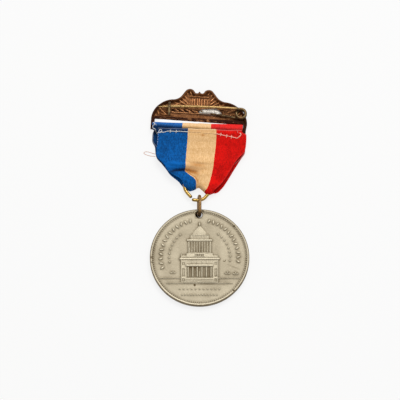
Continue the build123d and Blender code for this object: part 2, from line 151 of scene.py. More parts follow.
class PinSettings(bpy.types.PropertyGroup):
    """Sizes and colours of the pin, its catch and the solder."""

    wire: length("Wire", "Diameter of the pin's wire", 1.0)
    tip: length("Tip", "Diameter at the point", 0.26)
    tip_length: length("Tip length", "Length of the taper", 5.0)
    coil_radius: length("Coil", "Radius of the coil's middle line", 1.8)
    coil_across: length("Coil across", "Coil's place across the bar", 16.1)
    coil_up: length("Coil up", "Coil's place up the bar", 2.75)
    tip_across: length("Point across", "Point's place across the bar", -16.0)
    tip_up: length("Point up", "Point's place up the bar", 3.55)
    bow: length("Bow", "Bow of the stem", 0.45)
    leg_across: length("Leg across", "End of the fixed leg across the bar", 0.7)
    leg_up: length("Leg up", "End of the fixed leg up the bar", 2.9)
    leg_level: length("Leg level", "Height of the fixed leg's middle line", 1.5)
    turn_angle: angle("Turns", "Turn of wire in each half of the coil", 277)
    brass: colour("Brass", "Olive brass of the pin", 178, 144, 88)
    tarnish: colour("Tarnish", "Dark tarnish of the pin", 84, 60, 32)
    tin: colour("Tin", "Solder", 194, 188, 178)


class RibbonSettings(bpy.types.PropertyGroup):
    """Sizes and colours of the ribbon."""

    width: length("Width", "Flat width of the ribbon", 34.8)
    stripe: length("Stripe", "Width of the middle stripe", 11.0)
    cloth: length("Cloth", "Thickness of the cloth", 0.28)
    flap: length("Flap", "Length of the flap under the hem", 4.1)
    turned: length("Hem", "Cloth turned under at the hem", 1.8)
    fold_drop: length("Fold", "Middle of the lower fold from the bar's origin", -29.6)
    layer: length("Layer", "Spacing of the layers in a pleat", 0.36)
    blue: colour("Blue", "Left stripe", 6, 84, 153)
    cream: colour("Cream", "Middle stripe", 232, 192, 142)
    red: colour("Red", "Right stripe", 208, 14, 8)
    thread: colour("Thread", "Sewing thread", 242, 242, 238)
    flat_length: length("Flat length", "Length of the strip of ribbon", 63.0)


class RingSettings(bpy.types.PropertyGroup):
    """Sizes and colours of the suspension ring and the jump ring."""

    radius: length("Ring", "Radius of the suspension ring's middle line", 5.65)
    wire: length("Ring wire", "Diameter of the ring's wire", 1.3)
    link_wire: length("Link wire", "Diameter of the jump ring's wire", 1.2)
    link_lean: angle("Lean", "Lean of the jump ring", 8)
    gilt: colour("Gilt", "Gilt wire of the ring", 184, 148, 74)
    worn: colour("Worn", "Brown where the gilt has worn", 120, 84, 34)
    dull: colour("Dull brass", "Jump ring", 144, 110, 66)


class DiscSettings(bpy.types.PropertyGroup):
    """Sizes and colours of the struck disc."""

    diameter: length("Diameter", "Diameter over the rim", 38.45)
    thickness: length("Thickness", "Thickness at the rim", 2.2)
    rim: length("Rim", "Width of the rim", 0.8)
    field: length("Field", "Depth of the field under the rim", 0.35)
    dentils: IntProperty(name="Dentils", description="Dentils round the rim", default=138, min=20)
    dentil_length: length("Dentil", "Length of a dentil", 0.5)
    hole: length("Hole", "Diameter of the hole", 2.7)
    hole_wall: length("Hole wall", "Metal between the hole and the edge", 0.65)
    silver: colour("White metal", "Clean high places", 222, 211, 184)
    tone: colour("Tone", "Toned field", 186, 174, 148)
    # The grime colour also paints shade on the disc's edge and in its hole.
    grime: colour("Grime", "Brown in the recesses", 86, 66, 26)


class StageSettings(bpy.types.PropertyGroup):
    """Camera, lights and floor."""

    elevation: angle("Elevation", "Camera's angle above the floor", 73)
    lens: FloatProperty(name="Lens", description="Focal length", default=800.0, unit="CAMERA")
    view_width: length("View", "Width that the camera sees", 154.96)
    target_across: length("Target across", "Middle of the view across", 0.31)
    target_up: length("Target up", "Middle of the view up", -0.86)
    floor_half: length("Floor", "Half the width of the floor", 900.0)
    floor_tone: colour("Floor tone", "Pale floor", 108, 108, 107)
    sky: FloatProperty(name="Sky", description="Strength of the surrounding light", default=0.42)
    key: FloatProperty(name="Key", description="Power of the main light", default=9.6, unit="POWER")
    glow: share("Floor glow", "Light that the floor gives by itself", 0.81)
    # The slot glow is painted light on the floor seen through the slot.
    slot_glow: share("Slot glow", "Light of the floor seen through the slot", 0.97)


SETTINGS = {
    "medal_bar": BarSettings,
    "medal_pin": PinSettings,
    "medal_ribbon": RibbonSettings,
    "medal_rings": RingSettings,
    "medal_disc": DiscSettings,
    "medal_stage": StageSettings,
}


def in_millimetres(settings):
    """A group's values by name, with its lengths in millimetres."""
    values = {}
    for name in settings.__annotations__:
        value = getattr(settings, name)
        is_length = settings.bl_rna.properties[name].unit == "LENGTH"
        values[name] = value / MM if is_length else value
    return SimpleNamespace(**values)


def box_of(node):
    """Lowest and highest corner of a node of the frame, in millimetres."""
    return [np.array(corner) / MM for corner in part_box(node)]


def table(columns, *rows, defaults=()):
    """Rows of values with named columns; the last columns may have defaults."""
    row_kind = namedtuple("Row", columns, defaults=defaults)
    return [row_kind(*row) for row in rows]


# Reckoning with many points at once
def eased(value):
    """A smooth rise from 0 to 1."""
    value = np.clip(value, 0.0, 1.0)
    return value * value * (3.0 - 2.0 * value)


def bell(value, power=2):
    """1 at 0, falling smoothly to 0 on both sides; a high power makes a flat top."""
    return np.exp(-(value**power))


def mixed(first, second, part):
    """The first value, or the second where part is 1."""
    return first + (second - first) * part


def uneven(across, up, pitch, seed):
    """Smooth bumps from -1 to 1 about a pitch apart, the same for the same seed."""
    bumps = np.random.default_rng(seed).uniform(-1.0, 1.0, (128, 128))
    column, row = np.floor(across / pitch), np.floor(up / pitch)
    over, along = eased(across / pitch - column), eased(up / pitch - row)
    column, row = column.astype(int) % 127, row.astype(int) % 127
    low = mixed(bumps[row, column], bumps[row, column + 1], over)
    high = mixed(bumps[row + 1, column], bumps[row + 1, column + 1], over)
    return mixed(low, high, along)


def spread(values, passes):
    """Values smoothed along their first axis, with their ends kept."""
    values = np.array(values, float)
    for _ in range(passes):
        values[1:-1] = (values[:-2] + 2 * values[1:-1] + values[2:]) / 4
    return values


def heading(turn):
    """A step of length 1 in a direction of the face."""
    return np.array([math.cos(turn), math.sin(turn)])


def run_along(path):
    """How far each point of a path is from its start."""
    return np.concatenate([[0], np.cumsum(norm(np.diff(path, axis=0), axis=1))])


def patches(rows, across, up):
    """Sum of soft patches; lean tilts a patch along its width, power squares off its ends."""
    return sum(
        row.part
        * np.exp(
            -np.abs((across - row.across) / row.wide) ** row.power
            - ((up - row.up - row.lean * (across - row.across)) / row.tall) ** 2
        )
        for row in rows
    )


def through(rows, column, at):
    """A column of a table read at places down it; the table's first column rises or falls."""
    places = np.array([row[0] for row in rows], float)
    values = np.array([getattr(row, column) for row in rows], float)
    order = np.argsort(places)
    return np.interp(at, places[order], values[order])


# Shapes that are struck: distance in from the edge, above 0 inside
def in_box(across, up, middle, half):
    """Inside of an upright rectangle."""
    return np.minimum(half[0] - np.abs(across - middle[0]), half[1] - np.abs(up - middle[1]))


def in_oval(across, up, middle, half):
    """Inside of an ellipse."""
    reach = np.hypot((across - middle[0]) / half[0], (up - middle[1]) / half[1])
    return (1.0 - reach) * min(half)


def in_line(across, up, start, end, half):
    """Inside of a round ended line."""
    run = np.array(end) - np.array(start)
    part = ((across - start[0]) * run[0] + (up - start[1]) * run[1]) / (run @ run)
    part = np.clip(part, 0.0, 1.0)
    return half - np.hypot(across - start[0] - part * run[0], up - start[1] - part * run[1])


def seen_from(across, up, spot, turn):
    """Places seen from a spot, with the first axis turned by an angle."""
    cos, sin = heading(turn)
    across, up = across - spot[0], up - spot[1]
    return across * cos + up * sin, up * cos - across * sin


def in_leaf(across, up, root, turn, tall, wide):
    """Inside of a pointed leaf that grows from its root, turned from the up direction."""
    side, along = seen_from(across, up, root, turn)
    bow = (tall * tall / 4 + wide * wide / 4) / wide
    return bow - np.hypot(np.abs(side) + bow - wide / 2, along - tall / 2)


class Relief:
    """Heights over a flat face, kept as a fine map that shapes are struck into."""

    def __init__(self, left, right, low, high, cell):
        self.left, self.low, self.cell = left, low, cell
        across = np.arange(left, right + cell, cell)
        up = np.arange(low, high + cell, cell)
        self.across, self.up = np.meshgrid(across, up)
        self.height = np.zeros_like(self.across)

    def strike(self, inside, height, slope):
        """Raises the face to a height over a shape, with sloping sides."""
        self.height = np.maximum(self.height, eased(inside / slope) * height)

    def cut(self, inside, height, slope):
        """Lowers the face to a height over a shape."""
        lowered = mixed(self.height, height, eased(inside / slope))
        self.height = np.minimum(self.height, lowered)

    def blurred(self, radius):
        """The heights spread over a radius."""
        half = max(1, int(3 * radius / self.cell))
        places = np.arange(-half, half + 1) * self.cell
        kernel = np.exp(-0.5 * (places / radius) ** 2)
        kernel /= kernel.sum()
        padded = np.pad(self.height, half, mode="edge")
        rows = sum(k * padded[i : i + self.height.shape[0], :] for i, k in enumerate(kernel))
        return sum(k * rows[:, i : i + self.height.shape[1]] for i, k in enumerate(kernel))

    def at(self, values, across, up):
        """Values of a map of this face at any places on it."""
        column = np.clip((across - self.left) / self.cell, 0, values.shape[1] - 1.001)
        row = np.clip((up - self.low) / self.cell, 0, values.shape[0] - 1.001)
        c, r = column.astype(int), row.astype(int)
        over, along = column - c, row - r
        low = mixed(values[r, c], values[r, c + 1], over)
        return mixed(low, mixed(values[r + 1, c], values[r + 1, c + 1], over), along)


# Meshes
def quads(rows, columns, ring=False, start=0):
    """Faces between rows of points; in a ring the last column joins the first."""
    row = np.arange(rows - 1)[:, None] * columns
    column = np.arange(columns if ring else columns - 1)[None, :]
    beside = (column + 1) % columns
    corners = [row + column, row + beside, row + beside + columns, row + column + columns]
    return (np.stack(corners, axis=-1).reshape(-1, 4) + start).tolist()


def add_piece(name, points, faces, finish, body="medal", replaces=(), marks=None):
    """A smooth mesh from points in millimetres that rides on a body of the frame."""
    mesh = bpy.data.meshes.new(name)
    mesh.from_pydata((np.asarray(points) * MM).tolist(), [], faces)
    mesh.validate()
    mesh.shade_smooth()
    for mark, values in (marks or {}).items():
        layer = mesh.attributes.new(mark, "FLOAT", "POINT")
        layer.data.foreach_set("value", np.asarray(values, np.float32).ravel())
    mesh.materials.append(finish)
    piece = bpy.data.objects.new(name, mesh)
    bpy.context.scene.collection.objects.link(piece)
    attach(piece, body)
    if replaces:
        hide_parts(*replaces)
    return piece


def join_meshes(parts):
    """One list of points and one of faces from several."""
    points, faces = [], []
    for part_points, part_faces in parts:
        start = sum(len(known) for known in points)
        points.append(np.asarray(part_points))
        faces += [[corner + start for corner in face] for face in part_faces]
    return np.concatenate(points), faces


def wire(path, radius, facing=(0, 0, 1), sides=16, loop=False, flat=(1.0, 1.0), square=1.0):
    """A wire or strip along a path. flat scales its section beside and along facing."""
    path = np.asarray(path, float)
    if loop:
        tangent = np.roll(path, -1, axis=0) - np.roll(path, 1, axis=0)
    else:
        tangent = np.gradient(path, axis=0)
    tangent /= norm(tangent, axis=1)[:, None]
    side = np.cross(tangent, np.asarray(facing, float))
    side /= norm(side, axis=1)[:, None]
    out = np.cross(side, tangent)
    radius = np.broadcast_to(np.asarray(radius, float), (len(path),))[:, None]
    around = np.linspace(0, 2 * math.pi, sides, endpoint=False)
    section = np.stack([np.cos(around), np.sin(around)])
    beside, above = np.sign(section) * np.abs(section) ** square * np.array(flat)[:, None]
    points = path[:, None] + side[:, None] * (radius * beside)[..., None]
    points = (points + out[:, None] * (radius * above)[..., None]).reshape(-1, 3)
    total = len(points)
    if loop:
        faces = quads(len(path) + 1, sides, ring=True)
        return points, [[corner % total for corner in face] for face in faces]
    ends = [list(range(sides))[::-1], list(range(total - sides, total))]
    return points, quads(len(path), sides, ring=True) + ends


def rounded_ends(path, radius, reach=1.0, steps=5):
    """A path and its radii with each end drawn in to a rounded tip."""
    path = np.asarray(path, float)
    radii = np.broadcast_to(np.asarray(radius, float), (len(path),)).copy()
    parts = np.linspace(0, math.pi / 2, steps + 1)[1:]

    def tip(end, before):
        """Points that go on past an end of the path."""
        way = path[end] - path[before]
        way /= norm(way)
        return [path[end] + way * radii[end] * reach * math.sin(part) for part in parts]

    shrink = np.array([max(0.12, math.cos(part)) for part in parts])
    path = np.concatenate([tip(0, 1)[::-1], path, tip(-1, -2)])
    return path, np.concatenate([radii[0] * shrink[::-1], radii, radii[-1] * shrink])


def curve_through(points, spacing):
    """A smooth path through points, in steps of about a spacing."""
    points = np.asarray(points, float)
    ends = np.concatenate([[2 * points[0] - points[1]], points, [2 * points[-1] - points[-2]]])
    path = []
    for a, b, c, d in zip(ends, ends[1:], ends[2:], ends[3:]):
        steps = max(2, int(norm(c - b) / spacing))
        for part in np.linspace(0, 1, steps, endpoint=False):
            bend = (2 * a - 5 * b + 4 * c - d) * part + (3 * b - a - 3 * c + d) * part * part
            path.append(b + 0.5 * part * ((c - a) + bend))
    path.append(points[-1])
    return np.array(path)


# Finishes
class Value:
    """A socket of a finish that can be reckoned with like a number."""

    def __init__(self, finish, socket):
        self.finish, self.socket = finish, socket

    def reckon(self, operation, first, second, clamp=False):
        """A Math node on two values."""
        settings = {"operation": operation, "use_clamp": clamp}
        return self.finish.node("ShaderNodeMath", settings, {0: first, 1: second})

    def __add__(self, other):
        return self.reckon("ADD", self, other)

    def __radd__(self, other):
        return self.reckon("ADD", other, self)

    def __sub__(self, other):
        return self.reckon("SUBTRACT", self, other)

    def __rsub__(self, other):
        return self.reckon("SUBTRACT", other, self)

    def __mul__(self, other):
        return self.reckon("MULTIPLY", self, other)

    def __rmul__(self, other):
        return self.reckon("MULTIPLY", other, self)

    def __gt__(self, other):
        return self.reckon("GREATER_THAN", self, other)

    def __lt__(self, other):
        return self.reckon("LESS_THAN", self, other)

    def clamped(self):
        """The value kept from 0 to 1."""
        return self.reckon("ADD", self, 0.0, clamp=True)

    def wave(self):
        """The sine of the value."""
        return self.reckon("SINE", self, 0.0)

    def rising(self, low, high):
        """A smooth rise from 0 at low to 1 at high."""
        settings = {"interpolation_type": "SMOOTHSTEP"}
        return self.finish.node("ShaderNodeMapRange", settings, {0: self, 1: low, 2: high})


class Finish:
    """A material built up from named parts."""

    def __init__(self, name):
        self.material = bpy.data.materials.new(name)
        self.material.use_nodes = True
        self.tree = self.material.node_tree
        self.tree.nodes.clear()

    def node(self, kind, settings=None, inputs=None, output=0):
        """A node of a kind with its settings, then its inputs; gives one of its outputs."""
        made = self.tree.nodes.new(kind)
        for name, value in (settings or {}).items():
            setattr(made, name, value)
        for name, value in (inputs or {}).items():
            self.feed(made.inputs[name], value)
        return Value(self, made.outputs[output])

    def feed(self, socket, value):
        """Links a value to a socket, or sets the socket to a number or a colour."""
        if isinstance(value, Value):
            self.tree.links.new(value.socket, socket)
        elif hasattr(socket.default_value, "__len__") and len(value) < len(socket.default_value):
            socket.default_value = (*value, 1.0)
        else:
            socket.default_value = value

    def mark(self, name):
        """A value kept on the mesh."""
        return self.node("ShaderNodeAttribute", {"attribute_name": name}, output="Fac")

    def place(self):
        """The place on the piece, in metres."""
        return self.node("ShaderNodeTexCoord", output="Object")

    def stretched(self, scale):
        """The place on the piece, scaled by three numbers."""
        inputs = {0: self.place(), 1: scale}
        return self.node("ShaderNodeVectorMath", {"operation": "MULTIPLY"}, inputs)

    def mottle(self, size, detail=3.0, rough=0.5, at=None):
        """Cloudy noise from 0 to 1 with spots of about a size in millimetres."""
        inputs = {
            "Vector": at or self.place(),
            "Scale": 1.0 / (size * MM) if at is None else 1.0,
            "Detail": detail,
            "Roughness": rough,
        }
        return self.node("ShaderNodeTexNoise", None, inputs, "Fac")

    def reach(self, middle, half):
        """Distance from a middle as a share of half widths, both in millimetres."""
        scale = [1 / (part * MM) for part in half]
        spot = [place / part for place, part in zip(middle, half)]
        inputs = {0: self.stretched(scale), 1: spot}
        return self.node("ShaderNodeVectorMath", {"operation": "DISTANCE"}, inputs, "Value")

    def blend(self, part, first, second):
        """First colour, or second where part is 1."""
        settings = {"data_type": "RGBA"}
        inputs = {"Factor": part, 6: first, 7: second}
        return self.node("ShaderNodeMix", settings, inputs, 2)

    def bump(self, height, strength, reach):
        """A normal from small heights; reach is in millimetres."""
        inputs = {"Strength": strength, "Distance": reach * MM, "Height": height}
        return self.node("ShaderNodeBump", None, inputs)

    def surface(self, **inputs):
        """The material with its shader's inputs, spaces in their names written as underscores."""
        named = {name.replace("_", " "): value for name, value in inputs.items()}
        shader = self.node("ShaderNodeBsdfPrincipled", None, named)
        output = self.tree.nodes.new("ShaderNodeOutputMaterial")
        self.feed(output.inputs["Surface"], shader)
        return self.material


def struck_metal(name, high, middle, low, metallic, rough, gloss):
    """Toned metal with a relief: bright on the heights, grimy in the recesses, and dark where the
    mark paints shade.
    """
    finish = Finish(name)
    grime, worn = finish.mark("grime"), finish.mark("worn")
    clouds = finish.mottle(2.2, 4.0, 0.6)
    grain = finish.mottle(0.28, 3.0, 0.6)
    tone = finish.blend((clouds * 0.9 + worn * 0.7 - 0.35).clamped(), middle, high)
    dirt_and_shade = (grime + (grain - 0.5) * 0.35 + (clouds - 0.5) * 0.3).clamped()
    return finish.surface(
        Base_Color=finish.blend(dirt_and_shade, tone, low),
        Metallic=metallic,
        Specular_IOR_Level=gloss,
        Roughness=(rough + dirt_and_shade * 0.25 + (grain - 0.5) * 0.2 - worn * 0.08).clamped(),
        Normal=finish.bump(grain + clouds * 0.4, 0.25, 0.05),
    )


def drawn_wire(name, bright, dull, cover, rough):
    """Drawn wire with patches of tarnish and fine scratches, darkened where a mark gives soot and
    painted shade; cover is the share of tarnish.
    """
    finish = Finish(name)
    patches = finish.mottle(1.6, 4.0, 0.65)
    grain = finish.mottle(0.2, 2.0, 0.5)
    tarnish = (patches + (grain - 0.5) * 0.3).rising(0.75 - cover * 0.5, 1.0 - cover * 0.5)
    soot = (finish.mark("soot") * (0.7 + grain * 0.6)).clamped()
    aged = finish.blend(tarnish, bright, dull)
    return finish.surface(
        Base_Color=finish.blend(soot, aged, toned(dull, 0.35)),
        Metallic=0.6,
        Roughness=(rough + tarnish * 0.25 + (grain - 0.5) * 0.15).clamped(),
        Normal=finish.bump(grain + patches, 0.15, 0.04),
    )


def soldered_tin(name, tin, darkened):
    """Dull grey solder with a crystalline, lumpy face."""
    finish = Finish(name)
    grain = finish.mottle(0.35, 3.0, 0.6)
    lumps = finish.mottle(1.4, 2.0, 0.5)
    stain = (lumps * 0.7 + grain * 0.5).rising(0.62, 0.85)
    return finish.surface(
        Base_Color=finish.blend(stain, tin, darkened),
        Metallic=0.75,
        Roughness=(0.4 + grain * 0.3).clamped(),
        Normal=finish.bump(grain, 0.4, 0.06),
    )


def ribbon_cloth(name, size):
    """Woven ribbon with three stripes, a light selvedge, fine weave, soft wear and dirt, with
    painted light, shade, shadow, highlights and sheen from marks on the mesh.
    """
    finish = Finish(name)
    across, along = finish.mark("across"), finish.mark("along")
    ragged = (finish.mottle(0.5, 2.0, 0.5) - 0.5) * 0.18
    edge = size.stripe / 2
    is_blue = (across + ragged) < -edge
    is_red = (across + ragged) > edge
    clouds = finish.mottle(5.0, 3.0, 0.5)
    fleck = finish.mottle(0.48, 3.0, 0.7)
    warp = finish.mottle(1.0, 3.0, 0.6, at=finish.stretched((2300.0, 800.0, 800.0)))
    threads = (across * 17.0).wave() * 0.5 + (along * 15.0).wave() * 0.5
    shade = clouds * 0.4 + fleck * 2.0 + warp * 2.1 + threads * 0.08 - 1.79
    shade = (shade + finish.mark("lit")).clamped()
    blue = finish.blend(shade, toned(size.blue, 0.55), toned(size.blue, 1.5))
    cream = finish.blend(shade, dye(216, 170, 112), toned(size.cream, 1.12))
    red = finish.blend(shade, toned(size.red, 0.65), toned(size.red, 1.35))
    cloth = finish.blend(is_red, finish.blend(is_blue, cream, blue), red)
    # Brown of real dirt and of painted shadow in the cream's folds, then near black where the shade
    # mark paints shade.
    soiled_and_shadowed = finish.mark("soil")
    darkened = finish.blend((soiled_and_shadowed * (fleck + 0.35)).clamped(), cloth, dye(176, 108, 36))
    darkened = finish.blend(finish.mark("shade"), darkened, (0.004, 0.004, 0.008))
    # Toward the thread's colour: the real pale selvedge and edges, with painted highlights on folds
    # and a painted sheen on the tube's top.
    worn = (finish.mark("edge") * (fleck * 1.1 + 0.05)).clamped()
    rib = (along * 21.0).wave() * 0.5 + (across * 21.0).wave() * 0.4
    return finish.surface(
        Base_Color=finish.blend(worn, darkened, size.thread),
        Roughness=0.85,
        Specular_IOR_Level=0.12,
        Normal=finish.bump(rib + fleck * 1.2, 0.35, 0.05),
    )


def spun_thread(name, tint, dark_tint):
    """Sewing thread with a twist."""
    finish = Finish(name)
    twist = finish.mottle(0.22, 2.0, 0.5)
    return finish.surface(
        Base_Color=finish.blend(twist, dark_tint, tint),
        Roughness=0.85,
        Normal=finish.bump(twist, 0.4, 0.03),
    )


# Middle and half widths of the floor seen through the slot, which painted light makes brighter, in
# millimetres
SLOT_FLOOR = ((0.0, 31.2, 0.0), (19.0, 2.4, 1000.0))


def pale_floor(name, stage):
    """Plain pale floor with a light of its own, a painted shadow under the disc's hole, dark and
    without light, and painted light where it is seen through the slot.
    """
    finish = Finish(name)
    low, high = box_of("medal_disc")
    hole = ((low[0] + high[0]) / 2 - 0.6, high[1] - 1.1, 0.0)
    outside_hole_shadow = finish.reach(hole, (1.0, 1.0, 1.0)).rising(1.3, 1.8)
    outside_slot_light = finish.reach(*SLOT_FLOOR).rising(0.75, 1.0)
    light = finish.blend(outside_slot_light, (stage.slot_glow,) * 3, (stage.glow,) * 3)
    return finish.surface(
        # Painted shadow under the disc's hole: dark brown and with no light of its own.
        Base_Color=finish.blend(outside_hole_shadow, dye(30, 20, 12), stage.floor_tone),
        Roughness=0.9,
        Specular_IOR_Level=0.0,
        Emission_Color=finish.blend(outside_hole_shadow, (0.0, 0.0, 0.0), light),
        Emission_Strength=1.0,
    )


def toned(tint, part):
    """A colour with all its parts scaled."""
    return tuple(min(1.0, value * part) for value in tint)


# Places on the bar: across and up in its own plane, level above the floor
def bar_origin(bar, pin):
    """Origin of the bar's plane, from the axis of the pin's coil in the frame."""
    axis = np.array(frame["joints"][0]["pos_m"]) / MM
    cos, sin = heading(bar.turn)
    across = axis[0] - pin.coil_across * cos + pin.coil_up * sin
    up = axis[1] - pin.coil_across * sin - pin.coil_up * cos
    return across, up, axis[2]


def on_bar(bar, pin, across, up, level):
    """Points of the frame for places on the bar's plane."""
    origin = bar_origin(bar, pin)
    cos, sin = heading(bar.turn)
    across, up, level = np.broadcast_arrays(across, up, level)
    places = [origin[0] + across * cos - up * sin, origin[1] + across * sin + up * cos, level]
    return np.stack([np.asarray(place, float) for place in places], axis=-1)


# Half outline of the bar, in shares of its half width and its crest, as lines and arcs
BAR_OUTLINE = table(
    "across up via_across via_up",
    (1.0, -0.43, None, None),
    (1.0, -0.068, None, None),
    (0.816, 0.44, 0.949, 0.205),
    (0.56, 0.607, 0.705, 0.548),
    (0.38, 0.735, 0.455, 0.648),
    (0.29, 0.923, None, None),
    (0.105, 0.928, 0.19, 1.0),
    (0.03, 0.872, 0.068, 0.866),
    (0.0, 0.928, None, None),
)


def arc_points(start, via, end, spacing):
    """Points of the arc through three places, without its end."""
    (ax, ay), (bx, by), (cx, cy) = start, via, end
    turn = 2 * (ax * (by - cy) + bx * (cy - ay) + cx * (ay - by))
    a2, b2, c2 = ax * ax + ay * ay, bx * bx + by * by, cx * cx + cy * cy
    x = (a2 * (by - cy) + b2 * (cy - ay) + c2 * (ay - by)) / turn
    y = (a2 * (cx - bx) + b2 * (ax - cx) + c2 * (bx - ax)) / turn
    reach = math.hypot(ax - x, ay - y)
    first, last = math.atan2(ay - y, ax - x), math.atan2(cy - y, cx - x)
    way = 1 if turn > 0 else -1
    sweep = (last - first) * way % (2 * math.pi)
    steps = max(3, int(sweep * reach / spacing))
    angles = first + way * sweep * np.arange(steps) / steps
    return [(x + reach * math.cos(a), y + reach * math.sin(a)) for a in angles]


def line_points(start, end, spacing):
    """Points of a line, without its end."""
    start, end = np.array(start, float), np.array(end, float)
    steps = max(1, int(norm(end - start) / spacing))
    return [tuple(start + (end - start) * index / steps) for index in range(steps)]


def bar_edge(bar):
    """The bar's whole outline with its arms and the slot between them."""

    def place(side, across, up):
        """A corner on one side of the bar, whose crest leans."""
        lean = bar.crest_shift * max(0.0, up) ** 1.5
        return side * across * bar.half_width + lean, up * bar.crest

    halves = []
    for side in (1, -1):
        points = []
        for first, last in zip(BAR_OUTLINE, BAR_OUTLINE[1:]):
            start, end = place(side, first.across, first.up), place(side, last.across, last.up)
            if last.via_up is None:
                points += line_points(start, end, bar.grid)
            else:
                via = place(side, last.via_across, last.via_up)
                points += arc_points(start, via, end, bar.grid)
        halves.append(points)
    right, left = halves
    foot = place(1, BAR_OUTLINE[0].across, BAR_OUTLINE[0].up)
    inner = bar.half_width - bar.arm_width
    slot = [
        (-foot[0], foot[1]),
        (-inner, foot[1]),
        (-inner, bar.slot_edge),
        (inner, bar.slot_edge - 0.5),
        (inner, foot[1]),
        foot,
    ]
    edge = right + [place(1, BAR_OUTLINE[-1].across, BAR_OUTLINE[-1].up)] + left[:0:-1]
    for start, end in zip(slot, slot[1:]):
        edge += line_points(start, end, bar.grid)
    edge = np.array(edge)
    outer_arm = (edge[:, 0] > bar.half_width - 0.5) * eased((bar.slot_edge - edge[:, 1]) / 3.0)
    edge[:, 0] -= 0.3 * outer_arm
    return edge


def inside_edge(edge, across, up):
    """Distance in from an outline for each place; below 0 outside."""
    nearest = np.full(len(across), -1e9)
    crossed = np.zeros(len(across), int)
    for start, end in zip(edge, np.roll(edge, -1, axis=0)):
        nearest = np.maximum(nearest, in_line(across, up, start, end, 0.0))
        over = (start[1] > up) != (end[1] > up)
        if end[1] != start[1]:
            slope = (up - start[1]) / (end[1] - start[1])
            crossed += over & (across < start[0] + slope * (end[0] - start[0]))
    return np.where(crossed % 2 == 1, -nearest, nearest)


def plate_mesh(edge, spacing):
    """Points and triangles that fill an outline evenly; its own points come first."""
    low, high = edge.min(axis=0), edge.max(axis=0)
    rows = []
    for index, up in enumerate(np.arange(low[1], high[1], spacing * 0.87)):
        across = np.arange(low[0] + (index % 2) * spacing / 2, high[0], spacing)
        rows.append(np.stack([across, np.full_like(across, up)], axis=1))
    places = np.concatenate(rows)
    deep = inside_edge(edge, places[:, 0], places[:, 1])
    places = places[deep > spacing * 0.55]
    points = np.concatenate([edge, places])
    count = len(edge)
    around = [(index, (index + 1) % count) for index in range(count)]
    made = delaunay_2d_cdt([Vector(point) for point in points], around, [], 1, 1e-6)
    return np.array([tuple(point) for point in made[0]]), [list(face) for face in made[2]]


# Relief of the bar's hollow back, in millimetres from its origin
RAYS = SimpleNamespace(centre=(-0.36, 2.6), turns=range(24, 82, 9), start=5.0, end=11.5)
SHIELD_STRIPES = table(
    "across low high",
    (-4.0, 4.9, 8.2),
    (-3.2, 4.9, 8.4),
    (-2.2, 4.9, 8.4),
    (-1.1, 4.9, 8.5),
    (-0.4, 4.9, 8.5),
    (0.6, 4.9, 8.4),
    (1.7, 4.9, 8.4),
    (2.7, 4.9, 8.2),
)
SIDE_LOBES = table(
    "across up turn long wide",
    (15.6, 0.6, 20, 1.6, 0.6),
    (14.4, 2.4, 48, 1.9, 0.6),
    (12.6, 4.1, 66, 1.8, 0.6),
    (10.2, 5.2, 96, 1.5, 0.5),
    (12.6, 1.0, 84, 2.0, 0.6),
    (16.3, 2.6, 30, 1.2, 0.45),
    (13.0, 2.5, 75, 1.2, 0.35),
    (9.0, 3.9, 80, 1.6, 0.4),
    (15.0, 4.3, 50, 1.2, 0.4),
    (8.4, 5.9, 110, 1.0, 0.35),
)
PANEL = SimpleNamespace(across=-1.0, up=3.0, half=9.6, tall=1.0, border=0.5)
SCROLLS = table(
    "across up end_across end_up",
    (-9.7, 3.5, -8.3, 2.75),
    (-7.7, 3.5, -6.1, 2.8),
    (-5.3, 3.5, -3.5, 2.8),
    (-2.8, 3.4, -1.0, 2.8),
)


def bar_relief(bar):
    """Map of the relief in the hollow: rays, shield, long panel, side lobes and lip."""
    face = Relief(-bar.half_width - 0.5, bar.half_width + 0.5, -6.0, bar.crest + 0.5, cell=0.08)
    across, up = face.across, face.up
    for side, turn in [(side, turn) for side in (-1, 1) for turn in RAYS.turns]:
        way = heading(math.radians(90 - side * turn))
        start, end = RAYS.centre + way * RAYS.start, RAYS.centre + way * RAYS.end
        face.strike(in_line(across, up, start, end, 0.36), 0.85, 0.3)
    face.cut(in_box(across, up, (-0.6, 7.3), (4.7, 2.7)), 0.15, 0.4)
    face.strike(in_box(across, up, (-0.5, 9.05), (4.1, 0.55)), 0.6, 0.4)
    for row in SHIELD_STRIPES:
        middle = (row.low + row.high) / 2
        half = (0.3, (row.high - row.low) / 2)
        face.strike(in_box(across, up, (row.across, middle), half), 0.95, 0.28)
    for side, row in [(side, row) for side in (-1, 1) for row in SIDE_LOBES]:
        reach = heading(math.radians(90 - side * row.turn)) * row.long
        middle = np.array([side * row.across, row.up])
        face.strike(in_line(across, up, middle - reach, middle + reach, row.wide), 0.75, 0.5)
    left, right = PANEL.across - PANEL.half, PANEL.across + PANEL.half
    panel = in_line(across, up, (left, PANEL.up), (right, PANEL.up), PANEL.tall)
    face.cut(panel + 0.5, 0.02, 0.5)
    face.strike(np.minimum(panel, PANEL.border - panel), 1.0, 0.3)
    face.cut(in_box(across, up, (0.0, 0.55), (bar.half_width - 2.2, 0.55)), 0.08, 0.5)
    for row in SCROLLS:
        line = in_line(across, up, (row.across, row.up), (row.end_across, row.end_up), 0.34)
        face.strike(line, 1.0, 0.22)
    face.height *= 0.85 + 0.3 * uneven(across, up, 1.0, 3)
    face.height += 0.12 * uneven(across, up, 0.8, 18) + 0.07 * uneven(across, up, 0.4, 4)
    return face


# How far the rim rounds off at its edges and the lip lies under the rim, in millimetres
BAR_ROUND = 0.35


